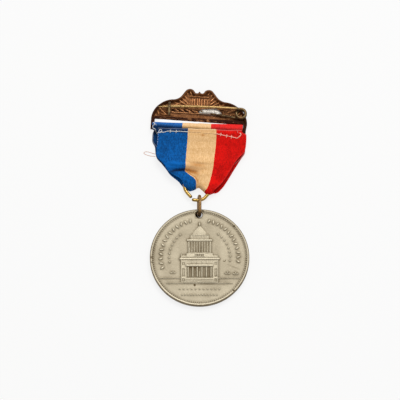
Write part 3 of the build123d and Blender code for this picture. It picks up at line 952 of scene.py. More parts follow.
def make_bar(bar, pin):
    """The stamped bar with its rim, arms, relief and lip, and a flatter relief on its front."""
    edge = bar_edge(bar)
    points, faces = plate_mesh(edge, bar.grid)
    across, up = points.T
    deep = np.abs(inside_edge(edge, across, up))
    face = bar_relief(bar)
    height = face.at(face.height, across, up)
    hollow = face.at(face.blurred(0.35), across, up) - height
    lip_top = bar.slot_edge + bar.slot_lip
    lip = (1 - eased((up - lip_top) / 0.35)) * (np.abs(across) < bar.half_width - bar.arm_width)
    rim = 1 - eased((deep - bar.rim) / 0.35)
    outer = rim * (1 - lip)
    lump = 0.12 * uneven(across, up, 1.1, 5) + 0.08 * uneven(across, up, 0.5, 6)

    crown = 1 - (2 * np.clip(deep / bar.rim, 0, 1) - 1) ** 2
    rim_level = bar.depth - BAR_ROUND * (1 - np.sqrt(np.clip(crown, 0, 1)))
    lip_level = bar.depth - BAR_ROUND + lump - 0.25 * eased(1 - deep / 0.3)
    level = mixed(bar.floor_level + bar.relief * height, lip_level, lip)
    level = np.minimum(mixed(level, rim_level, outer), bar.depth)
    front = 0.03 + 0.3 * np.clip(height, 0, 1) * (1 - rim) + 0.35 * rim * eased(1 - deep / bar.rim)
    front = mixed(front, lip_level - 0.5, lip)
    total = len(points)
    all_faces = faces + [[corner + total for corner in tri[::-1]] for tri in faces]
    for index in range(len(edge)):
        after = (index + 1) % len(edge)
        all_faces.append([after, index, index + total, after + total])

    plain = eased((up - 8.2) / 0.3) * bell((across + 0.5) / 4.6, 6)
    middle = bell((across + 0.6) / 7.5) * eased((up - 3.5) / 1.5) * (1 - 0.9 * plain)
    on_panel = eased((across + 11.5) / 1.0) * eased((9.5 - across) / 2.0)
    on_panel = on_panel * bell((up - 2.6) / 0.9)
    speckle = 0.35 * uneven(across, up, 0.7, 7)
    flakes = uneven(across * 0.6, up * 1.7, 0.5, 19)
    # Wear on the heights, most in the middle and on the panel under the stem, where it is also a
    # painted highlight.
    worn = np.clip(height * (0.55 + 1.2 * middle + 1.6 * on_panel + speckle) - 0.12, 0, 1)
    worn = np.where(lip > 0.5, 0.3 * lump + 0.3 * flakes - 0.06, worn * (1 - outer))
    grime = np.clip(1.5 * hollow + 0.12 + 0.3 * (1 - height) + 0.25 * plain, 0, 1) * (1 - rim)
    rim_worn = 0.45 * eased((up - 5.0) / 4.0) * eased((deep - 0.12) / 0.25)
    grime = grime + outer * np.clip(0.92 - rim_worn, 0, 1)
    grime = grime - 0.25 * np.clip(middle + on_panel, 0, 1) * (1 - outer)
    # Painted shade in the low places of the panel just under the stem.
    grime = grime + 0.5 * on_panel * eased((0.5 - height) / 0.4)
    lip_dark = 0.74 + 0.42 * eased((across - 2.0) / 7.0)
    lip_dark = lip_dark + 0.3 * bell((up - lip_top + 0.35) / 0.3)
    grime = np.where(lip > 0.5, lip_dark - 1.0 * lump - 0.5 * flakes, grime)
    arms = eased((np.abs(across) - bar.half_width + bar.arm_width + 0.2) / 0.3)
    arms = arms * eased((lip_top - up) / 0.8)
    return add_piece(
        "brooch_bar_shell",
        on_bar(bar, pin, [across, across], [up, up], [level, front]).reshape(-1, 3),
        all_faces,
        struck_metal("patinated_bronze", bar.copper, bar.patina, bar.shadow, 0.4, 0.42, 0.15),
        replaces=["brooch_bar"],
        marks={
            "worn": np.concatenate([worn * (1 - arms), np.full(total, 0.3)]),
            "grime": np.concatenate([np.maximum(grime, arms), np.full(total, 0.4)]),
        },
    )


# How far each half of the coil rises or falls, in millimetres
COIL_PITCH = 0.13


def spot_on_coil(pin, turns):
    """Places on the middle line of the coil, at angles in radians."""
    return (
        pin.coil_across + pin.coil_radius * np.cos(turns),
        pin.coil_up + pin.coil_radius * np.sin(turns),
    )


def into_coil(bar, pin, across, up, turns, level, rise):
    """A wire's middle line: its run, then its turns of the coil, which rise all the way."""
    coil_across, coil_up = spot_on_coil(pin, turns)
    heights = np.concatenate([np.zeros(len(across)), rise * np.linspace(0, 1, len(turns))])
    across, up = np.concatenate([across, coil_across]), np.concatenate([up, coil_up])
    return on_bar(bar, pin, across, up, level + heights)


def coil_darkness(bar, pin, points):
    """How dark each point of a wire is, all round the coil."""
    coil = on_bar(bar, pin, pin.coil_across, pin.coil_up, 0.0)
    reach = np.hypot(points[:, 0] - coil[0], points[:, 1] - coil[1])
    return 0.72 * (1 - eased((reach - pin.coil_radius - 0.2) / 1.8))


def make_pin(bar, pin):
    """The sprung stem with its point and the upper turn of the coil."""
    top = (pin.coil_across, pin.coil_up + pin.coil_radius)
    level = bar_origin(bar, pin)[2]
    part = np.linspace(1, -1, 70, endpoint=False)
    half = (top[0] - pin.tip_across) / 2
    across = (top[0] + pin.tip_across) / 2 - part * half
    up = (top[1] + pin.tip_up) / 2 - part * (top[1] - pin.tip_up) / 2 + pin.bow * (1 - part**2)
    turns = math.pi / 2 - np.linspace(0, pin.turn_angle, 60)
    path = into_coil(bar, pin, across, up, turns, level, -COIL_PITCH)
    taper = np.clip(run_along(path) / pin.tip_length, 0, 1) ** 0.8
    radii = (pin.tip + (pin.wire - pin.tip) * taper) / 2
    path, radii = rounded_ends(path, radii)
    points, faces = wire(path, radii, sides=20)
    return add_piece(
        "pin_stem_wire",
        points,
        faces,
        drawn_wire("pin_wire_brass", pin.brass, pin.tarnish, 0.5, 0.34),
        body="pin",
        replaces=["pin_stem"],
        marks={"soot": coil_darkness(bar, pin, points)},
    )


SOLDER_OUTLINE = table(
    "across up",
    (-0.016, 0.175),
    (0.465, 0.131),
    (0.47, 0.245),
    (0.357, 0.393),
    (0.022, 0.349),
    (-0.016, 0.271),
)
CATCH_PATH = table(
    "across up level",
    (-11.8, 5.35, 0.9),
    (-11.8, 5.38, 2.2),
    (-11.8, 5.36, 3.3),
    (-11.82, 5.05, 3.78),
    (-11.84, 4.3, 3.82),
    (-11.82, 3.0, 3.82),
    (-11.78, 1.6, 3.8),
    (-11.72, 0.6, 3.78),
    (-11.7, 0.2, 3.74),
)


def make_fittings(bar, pin):
    """Rail, catch and fixed leg with the lower turn of the coil, soldered to the bar."""
    brass = drawn_wire("fitting_brass", toned(pin.brass, 0.7), toned(pin.tarnish, 0.8), 0.7, 0.4)
    run = np.array([pin.coil_across - pin.leg_across, pin.coil_up - pin.leg_up])
    back = math.atan2(-run[1], -run[0])
    touch = back + math.acos(pin.coil_radius / np.hypot(*run))
    across, up = spot_on_coil(pin, touch)
    across = np.linspace(pin.leg_across, across, 40, endpoint=False)
    up = np.linspace(pin.leg_up, up, 40, endpoint=False)
    turns = touch + np.linspace(0, pin.turn_angle, 60)
    path = into_coil(bar, pin, across, up, turns, pin.leg_level, COIL_PITCH)
    path, radii = rounded_ends(path, pin.wire / 2)
    points, faces = wire(path, radii, sides=20)
    soot = {"soot": np.maximum(coil_darkness(bar, pin, points), 0.6)}
    add_piece("pin_leg", points, faces, brass, marks=soot)

    path = curve_through([[row.across, row.up, row.level] for row in CATCH_PATH], 0.12)
    path = on_bar(bar, pin, path[:, 0], path[:, 1], path[:, 2])
    path, radii = rounded_ends(path, 0.45, reach=0.5)
    facing = (*heading(bar.turn), 0)
    points, faces = wire(path, radii, facing=facing, sides=20, flat=(0.55, 1.0), square=0.6)
    soot = {"soot": np.full(len(points), 0.5)}
    add_piece("pin_catch", points, faces, brass, marks=soot)

    inner = bar.half_width - bar.arm_width
    across = np.linspace(-inner, inner, 60)
    level = box_of("ribbon")[0][2] + 1.67
    path = on_bar(bar, pin, across, bar.slot_edge - bar.rail_below, level)
    points, faces = wire(path, bar.rail_width / 2)
    rail_finish = drawn_wire("rail_bronze", bar.patina, bar.shadow, 0.6, 0.45)
    add_piece("slot_rail", points, faces, rail_finish)


def make_solder(bar, pin):
    """The patch of solder that holds the leg, flowed out with a lumpy top."""
    corners = np.array([(r.across * bar.half_width, r.up * bar.crest) for r in SOLDER_OUTLINE])
    middle = corners.mean(axis=0)
    turns = np.linspace(-math.pi, math.pi, 121)[:-1]
    reach = np.full(len(turns), 1e9)
    for start, end in zip(corners, np.roll(corners, -1, axis=0)):
        run = end - start
        out = np.array([run[1], -run[0]]) / norm(run)
        slope = np.cos(turns) * out[0] + np.sin(turns) * out[1]
        gap = (start - middle) @ out
        reach = np.where(slope > 1e-6, np.minimum(reach, gap / np.maximum(slope, 1e-6)), reach)
    reach *= 1 + 0.05 * uneven(turns * 3, turns * 0, 0.7, 8)
    parts = np.linspace(0.02, 1.0, 26)[:, None]
    across = middle[0] + parts * reach * np.cos(turns)
    up = middle[1] + parts * reach * np.sin(turns)
    swell = np.sqrt(np.clip(1 - parts**4, 0, 1))
    lump = 0.1 * uneven(across, up, 1.2, 9) + 0.06 * uneven(across, up, 0.5, 10)
    level = 0.95 + swell * (1.1 + lump) + 0.1 * bell((up - pin.leg_up) / 0.6)
    points = on_bar(bar, pin, across, up, level).reshape(-1, 3)
    rows, columns = across.shape
    under = on_bar(bar, pin, across[-1], up[-1], 0.7)
    points = np.concatenate([points, under])
    faces = quads(rows + 1, columns, ring=True)
    faces.append(list(range(columns))[::-1])
    faces.append(list(range(rows * columns, (rows + 1) * columns)))
    tin = soldered_tin("grey_solder", pin.tin, toned(pin.tin, 0.45))
    return add_piece("leg_solder", points, faces, tin)


# Ribbon: edges of its walls and its stripes, in millimetres from the bar's origin.
# pleat is how far the left stripe is folded over the middle one.
BACK_WALL = table(
    "up left border seam right pleat",
    (-5.0, -15.6, -4.0, 7.0, 16.95),
    (-6.35, -15.6, -4.0, 7.05, 17.0),
    (-6.65, -15.6, -4.0, 7.05, 18.7),
    (-8.9, -15.6, -3.95, 7.2, 18.8),
    (-11.3, -15.6, -4.0, 7.15, 18.73),
    (-13.2, -15.7, -4.05, 7.05, 18.3),
    (-15.2, -15.7, -4.1, 6.95, 16.5),
    (-16.5, -15.6, -4.1, 6.9, 15.75),
    (-17.9, -14.8, -4.15, 6.85, 15.0),
    (-18.9, -13.5, -4.15, 6.8, 14.4),
    (-20.3, -12.3, -3.95, 6.7, 13.8),
    (-21.7, -11.35, -4.3, 6.5, 13.05, 0.1),
    (-22.9, -10.6, -3.9, 6.3, 12.45, 0.6),
    (-23.8, -9.95, -2.8, 6.1, 11.9, 1.2),
    (-25.05, -8.85, -1.0, 5.75, 11.1, 1.9),
    (-26.4, -7.3, -0.2, 5.35, 10.1, 2.5),
    (-27.8, -5.3, 0.35, 4.75, 8.75, 3.0),
    (-29.2, -4.3, 0.5, 4.1, 7.1, 3.2),
    (-30.0, -3.9, 0.5, 3.75, 6.8, 3.2),
    defaults=(0.0,),
)
FRONT_WALL = table(
    "up left border seam right pleat",
    (-3.5, -16.95, -5.9, 5.1, 17.1),
    (-5.2, -17.3, -5.8, 5.2, 17.2),
    (-6.2, -17.7, -5.8, 5.2, 17.7),
    (-9.6, -17.7, -5.8, 5.2, 18.4),
    (-10.6, -17.5, -5.7, 5.3, 18.5),
    (-11.5, -16.6, -5.6, 5.4, 18.55),
    (-12.9, -16.35, -5.5, 5.5, 18.5),
    (-14.6, -16.2, -5.5, 5.5, 17.3),
    (-16.7, -15.6, -5.4, 5.6, 16.3),
    (-19.1, -13.2, -5.2, 5.7, 15.05),
    (-21.5, -11.1, -4.6, 5.7, 13.9, 0.3),
    (-24.1, -9.6, -3.0, 5.6, 12.5, 1.0),
    (-26.6, -7.7, -1.2, 5.2, 11.05, 1.9),
    (-28.4, -5.7, 0.0, 4.4, 9.5, 2.8),
    (-30.0, -4.2, 0.5, 3.9, 7.8, 3.2),
    defaults=(0.0,),
)
FLAP_EDGES = BACK_WALL[0]._replace(left=-18.0, border=-6.3, seam=4.8, right=17.0)
# How far the left edge of the flap steps in under the hem, in millimetres
FLAP_STEP = 2.1
# Level of the back wall above the floor, its lower fold across the strip, and the pleat's fold
BACK_LEVELS = table(
    "up level",
    (-31.0, 3.45),
    (-23.0, 3.45),
    (-21.5, 3.4),
    (-19.8, 3.55),
    (-17.8, 3.65),
    (-14.8, 3.0),
    (-11.0, 3.15),
    (-8.0, 3.85),
    (-5.3, 3.95),
)
FOLD_LINE = table(
    "across up",
    (-6.0, -28.1),
    (-4.3, -28.65),
    (-1.85, -29.45),
    (-0.4, -28.95),
    (0.7, -28.3),
    (1.3, -28.2),
    (3.8, -30.2),
    (4.85, -31.3),
    (6.0, -31.1),
    (7.4, -30.4),
)
PLEAT_FOLD = -28.1
# Ridges of the back wall, and valleys where the height is below 0; turns in degrees
WRINKLES = table(
    "across up turn long wide height",
    (-8.2, -19.5, -5, 4.2, 0.85, 0.75),
    (-6.4, -21.9, 3, 3.2, 0.55, -0.75),
    (-10.6, -20.3, 60, 1.6, 0.8, 0.25),
    (-1.6, -20.0, -6, 3.2, 0.65, 0.55),
    (-1.6, -22.2, -3, 3.2, 0.6, -0.7),
    (2.8, -21.2, 14, 1.8, 0.6, -0.25),
    (1.4, -18.9, -3, 3.6, 0.45, -0.28),
    (1.0, -18.2, -2, 3.4, 0.5, 0.18),
    (3.0, -23.0, 8, 3.0, 0.8, 0.25),
    (-4.6, -25.2, -38, 4.2, 1.7, 0.4),
    (-8.2, -24.0, -45, 3.6, 1.0, 0.22),
    (8.6, -23.6, 24, 3.4, 1.0, 0.4),
    (9.2, -21.8, 40, 3.4, 0.7, -0.25),
    (10.9, -20.6, 58, 4.6, 0.7, 0.3),
    (12.6, -17.5, 60, 5.5, 1.0, 0.25),
    (3.0, -27.0, -65, 2.6, 0.6, 0.2),
    (-12.4, -13.0, 84, 5.0, 1.6, 0.16),
    (1.8, -12.5, 4, 9.0, 1.6, 0.12),
    (2.0, -15.6, -3, 4.0, 0.4, -0.1),
    (12.0, -9.5, -6, 5.0, 1.2, 0.14),
    (1.5, -9.8, 2, 4.5, 0.4, -0.1),
    (-9.0, -16.9, 8, 5.0, 0.7, 0.16),
    (9.0, -13.0, 70, 6.0, 0.7, 0.1),
)
# Soft patches on the back wall: painted light and shade, painted shadow with some dirt in the cream
# folds, painted shade in the blue crease, and a real stain
PATCH = "across up wide tall part lean power"
LIT_PLACES = table(
    PATCH,
    (-8.6, -20.0, 4.2, 1.3, 0.6),
    (-5.0, -24.2, 3.0, 1.0, 0.25),
    (-13.0, -13.5, 1.6, 4.5, -0.2),
    (-9.0, -8.2, 5.5, 1.2, -0.1),
    (7.0, -25.6, 2.4, 1.1, 0.6),
    (13.0, -16.0, 2.0, 3.0, -0.25),
    (9.5, -21.5, 1.2, 3.0, -0.25),
    (9.0, -12.0, 3.0, 4.0, 0.15),
    (1.0, -7.0, 5.5, 0.8, -0.25),
    (11.5, -5.5, 5.0, 0.5, 0.3),
    (11.5, -6.6, 5.0, 0.5, -0.45),
    (1.0, -11.6, 6.0, 0.5, 0.14),
    (0.5, -13.4, 6.0, 0.5, -0.16),
    (2.5, -15.5, 3.5, 2.0, 0.2),
    (-2.0, -20.6, 3.5, 0.5, 0.45),
    (0.5, -24.5, 2.0, 1.0, -0.15),
    (3.2, -27.5, 1.2, 1.6, -0.1),
    defaults=(0.0, 2),
)
STAIN = table(PATCH, (1.9, -7.3, 0.8, 0.45, 0.9), defaults=(0.0, 2))
VALLEYS = table(
    PATCH,
    (-1.8, -22.068, 3.0, 1.0, 1.0, -0.28, 4),
    (0.6, -19.4, 2.6, 0.8, 0.5),
    (-0.4, -20.6, 3.4, 1.7, 0.3),
    defaults=(0.0, 2),
)
CREASE = table(PATCH, (-6.6, -21.904, 3.6, 0.8, 0.9, 0.24, 4))
# Mesh columns from stop to stop across the strip
SEGMENTS = (9, 44, 8, 8, 30, 44, 9)


def wrinkled(across, up):
    """Height of the wrinkles over the back wall."""
    height = 0.05 * uneven(across, up, 2.6, 11) + 0.02 * uneven(across, up, 1.1, 12)
    for row in WRINKLES:
        along, over = seen_from(across, up, (row.across, row.up), math.radians(row.turn))
        height = height + row.height * np.exp(-((along / row.long) ** 2) - (over / row.wide) ** 2)
    return height


# The strip from its side, in millimetres: from its lower wall to the rail's middle, how far
# the lower fold reaches, and the edge of the hem
RAIL_RISE = 1.52
FOLD_REACH = 1.3
HEM_UP = -5.34


def half_turn(count):
    """Angles over half a turn, without the last one."""
    return np.linspace(0, math.pi, count, endpoint=False)


def ribbon_route(bar, size):
    """The strip seen from its side, from the flap's end to the hem: up, level and wall by wall."""
    rail = bar.slot_edge - bar.rail_below
    lowest = box_of("ribbon")[0][2] + size.cloth / 2
    rail_level = lowest + RAIL_RISE
    reach = rail_level - lowest
    fold = size.fold_drop + FOLD_REACH
    low_back = through(BACK_LEVELS, "level", fold)
    middle, half = (low_back + lowest) / 2, (low_back - lowest) / 2
    hem_top, hem_half = through(BACK_LEVELS, "level", HEM_UP), size.layer / 2
    flap = np.linspace(rail - size.flap, rail, 14, endpoint=False)
    front = np.linspace(rail, fold, 72, endpoint=False)
    back = np.linspace(fold, HEM_UP, 90, endpoint=False)
    under = np.linspace(HEM_UP, HEM_UP - size.turned, 8)
    tube, turn, hem = half_turn(18), half_turn(16), half_turn(7)
    parts = [
        ("flap", flap, 2 * rail_level - lowest + 0 * flap),
        ("tube", rail + reach * np.sin(tube), rail_level + reach * np.cos(tube)),
        ("front", front, lowest + 0 * front),
        ("fold", fold - FOLD_REACH * np.sin(turn), middle - half * np.cos(turn)),
        ("back", back, through(BACK_LEVELS, "level", back)),
        ("hem", HEM_UP + hem_half * np.sin(hem), hem_top - hem_half + hem_half * np.cos(hem)),
        ("under", under, hem_top - size.layer + 0 * under),
    ]
    walls = np.concatenate([np.full(len(up), name) for name, up, _ in parts])
    up = np.concatenate([part[1] for part in parts])
    level = np.concatenate([part[2] for part in parts])
    steep = np.isin(walls, ["back", "fold"])
    return walls, up, np.where(steep, spread(level, 6), level)


def ribbon_edges(walls, up, level):
    """Edges, stripes and pleat of each row of the strip."""
    rows = {}
    turned = eased((level - level.min()) / (level.max() - level.min()))
    over_rail = eased((level - 2.0) / 0.7)
    low_part = np.isin(walls, ["front", "fold", "back"])
    for name in FLAP_EDGES._fields[1:]:
        back = through(BACK_WALL, name, up)
        front = through(FRONT_WALL, name, up)
        top = through(FRONT_WALL, name, FRONT_WALL[0].up)
        flap = getattr(FLAP_EDGES, name) + 0 * up
        tucked = FLAP_STEP * eased((-5.1 - up) / 0.5) if name == "left" else 0.0
        edges = np.select(
            [walls == "flap", walls == "tube", walls == "front", walls == "fold"],
            [flap + tucked, mixed(top, flap, over_rail), front, mixed(front, back, turned)],
            back,
        )
        rows[name] = np.where(low_part, spread(edges, 5), edges)
    return SimpleNamespace(**rows)


def ribbon_columns(rows, size):
    """Places, flat places and layers across each row, through the folds at both sides."""
    edge = size.stripe / 2
    half = size.width / 2
    lap = 0.35
    fold_edge = rows.border + lap
    deep = np.maximum(rows.pleat, 0.0)
    step = 0.25 * (1 - eased(deep / 0.5))
    rise = eased(deep / 1.0)
    flat_edge = np.full(len(deep), -edge + lap)
    left_flat = np.maximum(flat_edge - (fold_edge - rows.left), -half + 0.35)
    right_flat = np.minimum(edge + (rows.right - rows.seam), half - 0.35)
    left_turn = np.minimum(left_flat + half, 0.45 * (fold_edge - rows.left))
    right_turn = np.minimum(half - right_flat, 0.45 * (rows.right - rows.seam))
    hidden = np.maximum(deep, 0.25)
    zero = np.zeros(len(deep))
    stops = [
        (rows.left + left_turn, left_flat - left_turn, zero + 1.1),
        (rows.left, left_flat, zero),
        (fold_edge, flat_edge, -1.9 * rise),
        (fold_edge - deep + step, flat_edge + hidden, -0.9 * rise),
        (fold_edge + 2 * step + 0.3 * rise, flat_edge + 2 * hidden, zero),
        (rows.seam, zero + edge, zero),
        (rows.right, right_flat, zero),
        (rows.right - right_turn, right_flat + right_turn, zero + 1.1),
    ]
    across, flat, layer = [], [], []
    for index, (first, last, count) in enumerate(zip(stops, stops[1:], SEGMENTS)):
        at_end = index == len(SEGMENTS) - 1
        parts = np.linspace(0, 1, count + at_end, endpoint=at_end)
        lift = eased(2.0 * parts) if index == 1 else parts
        for part, raised in zip(parts, lift):
            across.append(mixed(first[0], last[0], part))
            flat.append(mixed(first[1], last[1], part))
            layer.append(mixed(first[2], last[2], raised))
    return spread(across, 3).T, np.array(flat).T, spread(layer, 4).T


def make_ribbon(bar, pin, size):
    """One strip of ribbon: flap, turn over the rail, front wall, fold, back wall and hem."""
    walls, path_up, path_level = ribbon_route(bar, size)
    rows = ribbon_edges(walls, path_up, path_level)
    across, flat, layer = ribbon_columns(rows, size)

    def on(*names):
        """1 on the rows of some walls, 0 on the others."""
        return np.isin(walls, names).astype(float)[:, None]

    route = np.stack([path_up, path_level], axis=1)
    way = np.gradient(route, axis=0)
    way /= norm(way, axis=1)[:, None]
    along = np.broadcast_to(run_along(route)[:, None], across.shape)
    path_up, path_level = route[:, :1], route[:, 1:]
    layer = layer * size.layer

    first = SEGMENTS[0] + SEGMENTS[1] + 3
    column = np.arange(across.shape[1])[None, :]
    in_pleat = (column >= first) & (column < first + SEGMENTS[2] + SEGMENTS[3] + 2)
    hidden = in_pleat | ((column >= first) & (across < 1.2))
    fold_up = np.where(hidden, PLEAT_FOLD, through(FOLD_LINE, "up", across) + 0.6)
    near_fold = eased((-21.5 - path_up) / 6.5) * on("front", "fold", "back")
    near_hem = eased((path_up + 14.0) / 8.0) * on("back", "hem", "under")
    near_rail = on("flap", "tube") + on("front") * eased((path_up + 8.0) / 4.0)
    hem_slope = 0.2 + 0.0292 * across + 0.12 * uneven(across, across * 0, 3.0, 13)
    flap_slope = 0.08 * uneven(across, across * 0, 4.0, 14) - 0.15 + 0.028 * across
    up = path_up + (fold_up - size.fold_drop) * near_fold
    up = up + hem_slope * near_hem + flap_slope * near_rail + way[:, 1:] * layer

    on_back = spread(on("back", "hem", "under"), 8)
    on_front = on("front") * eased((-6.0 - path_up) / 4)
    on_top = on("flap", "tube") * eased((path_level - 2.0) / 1.0)
    level = path_level - way[:, :1] * layer
    level = level + wrinkled(across, up) * on_back * (1 - 0.7 * eased((up + 7.5) / 1.5))
    level = level + (0.06 + 0.06 * uneven(across, up, 4.0, 15)) * on_front
    puff = 0.07 * uneven(across, up, 3.2, 16) + 0.04 * uneven(across, up, 1.3, 17)
    level = level + puff * on_top - 0.6 * eased((-4.0 - up) / 1.5) * on("flap")
    level = np.maximum(level, box_of("ribbon")[0][2] + size.cloth / 2)
    over_ring = (on("back") > 0) & (up < -20.0)
    level = np.where(over_ring, np.maximum(level, box_of("suspension_ring")[1][2] + 0.2), level)

    piece = add_piece(
        "ribbon_strip",
        on_bar(bar, pin, across, up, level).reshape(-1, 3),
        quads(*across.shape),
        ribbon_cloth("tricolour_ribbon", size),
        replaces=["ribbon"],
        marks={
            "across": flat,
            "along": along,
            **cloth_marks(rows, size, on, on_back, across, up, flat, along, hem_slope),
        },
    )
    walls_of_cloth = piece.modifiers.new("cloth", "SOLIDIFY")
    walls_of_cloth.thickness = size.cloth * MM
    walls_of_cloth.offset = 0.0
    return piece


def cloth_marks(rows, size, on, on_back, across, up, flat, along, hem_slope):
    """Pale edges and threads with painted highlights and sheen, dirt with painted shadow in the
    folds, and painted shade and light over the strip.
    """
    on_cream = (np.abs(flat) < size.stripe / 2) * on_back
    on_blue = flat < -size.stripe / 2
    on_tube = on("flap", "tube")
    past_fold = across - rows.border[:, None] - 0.35
    pleat_deep = eased((rows.pleat[:, None] - 0.3) / 0.5)

    near_left = across - rows.left[:, None]
    dotted = (near_left < 0.3) & (up < -7.4) & (up > -12.0) & (np.sin(along * 6.0) > -0.1)
    near_right = bell((rows.right[:, None] - across - 0.25) / 0.22) * (up < -13.0)
    lobe_edge = bell((past_fold + 0.12) / 0.13) * pleat_deep * on_back
    # Pale marks: the real light selvedge, the dotted selvedge and the cream at the pleat's fold;
    # painted highlights on the red fold's edge and along the hem, and a painted sheen on the tube's
    # top.
    pale = [
        0.3 * (np.abs(flat) > size.width / 2 - 0.3),
        0.45 * dotted * on("back"),
        0.03 * near_right * on_back,
        0.15 * on("hem"),
        0.45 * lobe_edge,
        0.035 * on_tube * (1 - eased((-3.6 - up) / 0.9)),
    ]

    # Painted shadow in the cream's folds, under the hem and beside the pleat, with some dirt; STAIN
    # is a real stain.
    by_hem = bell((up + 5.9 - hem_slope) / 0.35)
    by_pleat = bell((past_fold - 0.45) / 0.4) * (past_fold > 0) * pleat_deep
    soil = (patches(VALLEYS, across, up) + 0.35 * by_hem + 0.9 * by_pleat) * on_cream
    soil = soil + patches(STAIN, across, up) * on_back

    under_hem = 0.75 * bell((up + 5.95) / 0.95, 4)
    shade = (patches(CREASE, across, up) + under_hem) * on_back * on_blue
    shade = shade + 0.64 * eased((-3.8 - up) / 0.9) * on_tube
    shade = shade + 0.55 * on("front") * (across < -12.0)
    lit = patches(LIT_PLACES, across, up) * on_back
    return {
        "edge": np.maximum.reduce(np.broadcast_arrays(*pale)),
        "soil": np.clip(soil, 0, 1),
        "shade": np.clip(shade, 0, 0.9),
        "lit": lit + on_tube * (0.5 - 0.9 * eased((-3.0 - up) / 1.3)),
    }


# Sewing on the back wall, in millimetres from the bar's origin. ticks are the places where
# a stitch crosses the seam, as shares of its length.
BLUE_SPOTS = [(-14.6, -6.9), (-13.4, -7.15), (-12.0, -6.65), (-10.2, -6.5), (-7.1, -6.4)]
BLUE_SPOTS += [(-4.0, -6.35)]
RED_SPOTS = [(6.9, -6.55), (8.5, -6.7), (10.4, -7.0), (13.2, -7.35), (14.9, -7.75), (15.9, -7.2)]
RED_SPOTS += [(16.6, -6.3), (16.2, -5.7)]
KNOT_SPOTS = [(-17.6, -5.3), (-16.9, -5.6), (-16.1, -6.5), (-15.4, -7.3), (-14.5, -7.2)]
CORNER_SPOTS = [(-18.0, -2.9), (-17.4, -3.3), (-17.2, -3.9), (-17.8, -4.6), (-17.6, -5.4)]
SEWING = table(
    "name tint wire waver spots ticks",
    ("blue_seam", "pale", 0.26, 0.06, BLUE_SPOTS, (0.39, 0.59)),
    ("cream_seam", "cream", 0.16, 0.05, [(-3.8, -6.35), (-1.0, -6.4), (1.0, -6.3)]),
    ("cream_hem", "cream", 0.16, 0.05, [(2.2, -6.6), (4.6, -6.55), (6.9, -6.7)]),
    ("red_seam", "pink", 0.3, 0.08, RED_SPOTS, (0.18, 0.39, 0.56)),
    ("knot_thread", "pale", 0.27, 0.05, KNOT_SPOTS),
    ("knot_loop", "pale", 0.24, 0.05, [(-15.3, -7.0), (-14.9, -6.1), (-14.2, -6.3), (-14.1, -7.1)]),
    ("corner_thread", "pale", 0.2, 0.05, CORNER_SPOTS),
    ("corner_curl", "pale", 0.16, 0.05, [(-17.7, -2.6), (-16.9, -3.6), (-16.4, -4.0)]),
    defaults=((),),
)
LOOSE_THREAD = [(-15.2, -15.0), (-16.9, -14.8), (-18.2, -14.4), (-19.8, -14.2), (-20.6, -14.7)]
LOOSE_THREAD += [(-20.0, -15.3), (-18.1, -15.8), (-16.2, -15.9)]


def cloth_levels(tree, bar, pin, across, up):
    """Heights of the top of the ribbon at places on the bar's plane, 0.1 where there is none."""
    levels = []
    for place in on_bar(bar, pin, across, up, 20.0) * MM:
        spot = tree.ray_cast(Vector(place), Vector((0, 0, -1)))[0]
        levels.append(0.1 if spot is None else spot.z / MM)
    return np.array(levels)


def lay_thread(row, tree, bar, pin):
    """A seam or a thread end that follows the cloth, with the stitches that cross it."""
    seed, thick = len(row.name), row.wire
    route = curve_through([(*spot, 0.0) for spot in row.spots], 0.12)
    run = run_along(route)
    across, up = route[:, 0], route[:, 1] + row.waver * uneven(run, run * 0, 0.55, seed)
    radii = thick / 2 * (1 + 0.2 * uneven(run, run * 0, 0.45, seed + 1))
    rise = thick * (0.3 + 0.22 * uneven(run, run * 0, 0.8, seed + 2))
    level = spread(cloth_levels(tree, bar, pin, across, up), 2) + rise
    path, radii = rounded_ends(on_bar(bar, pin, across, up, level), radii, steps=3)
    parts = [wire(path, radii, sides=10)]
    for tick in row.ticks:
        at = int(tick * (len(route) - 1))
        beside = across[at] + np.linspace(-0.06, 0.06, 7)
        over = up[at] + np.linspace(-0.62, 0.5, 7)
        arch = 0.1 + 0.22 * np.sin(np.linspace(0, math.pi, 7))
        level = cloth_levels(tree, bar, pin, beside, over) + arch
        path, radii = rounded_ends(on_bar(bar, pin, beside, over, level), thick * 0.42, steps=3)
        parts.append(wire(path, radii, facing=(1, 0, 0), sides=10))
    return join_meshes(parts)


def make_sewing(bar, pin, size):
    """Stitches along the hem, the ends of the threads and the loose thread at the left."""
    seen = bpy.context.evaluated_depsgraph_get()
    tree = BVHTree.FromObject(bpy.data.objects["ribbon_strip"], seen)
    tints = {
        "pale": spun_thread("pale_thread", size.thread, toned(size.thread, 0.6)),
        "cream": spun_thread("cream_thread", toned(size.cream, 0.85), toned(size.cream, 0.5)),
        "pink": spun_thread("pink_thread", dye(255, 214, 196), dye(244, 140, 120)),
    }
    for row in SEWING:
        points, faces = lay_thread(row, tree, bar, pin)
        add_piece(row.name, points, faces, tints[row.tint])
    route = curve_through([(*spot, 0.12) for spot in LOOSE_THREAD], 0.15)
    path, radii = rounded_ends(on_bar(bar, pin, *route.T), 0.11, steps=3)
    points, faces = wire(path, radii, sides=8)
    pink = spun_thread("loose_pink_thread", dye(232, 196, 178), dye(206, 150, 128))
    add_piece("loose_thread", points, faces, pink)


# The ring's wire runs between two angles and on in a shallow tail, in degrees and
# millimetres; DENTS are flatter places, by angle in radians, half width and depth as a share
RING_TURNS = (268.0, 592.0)
TAIL_SWEEP, TAIL_REACH = 9.5, 12.0
DENTS = [(0.76, 0.46, 0.16), (2.44, 0.45, 0.08)]


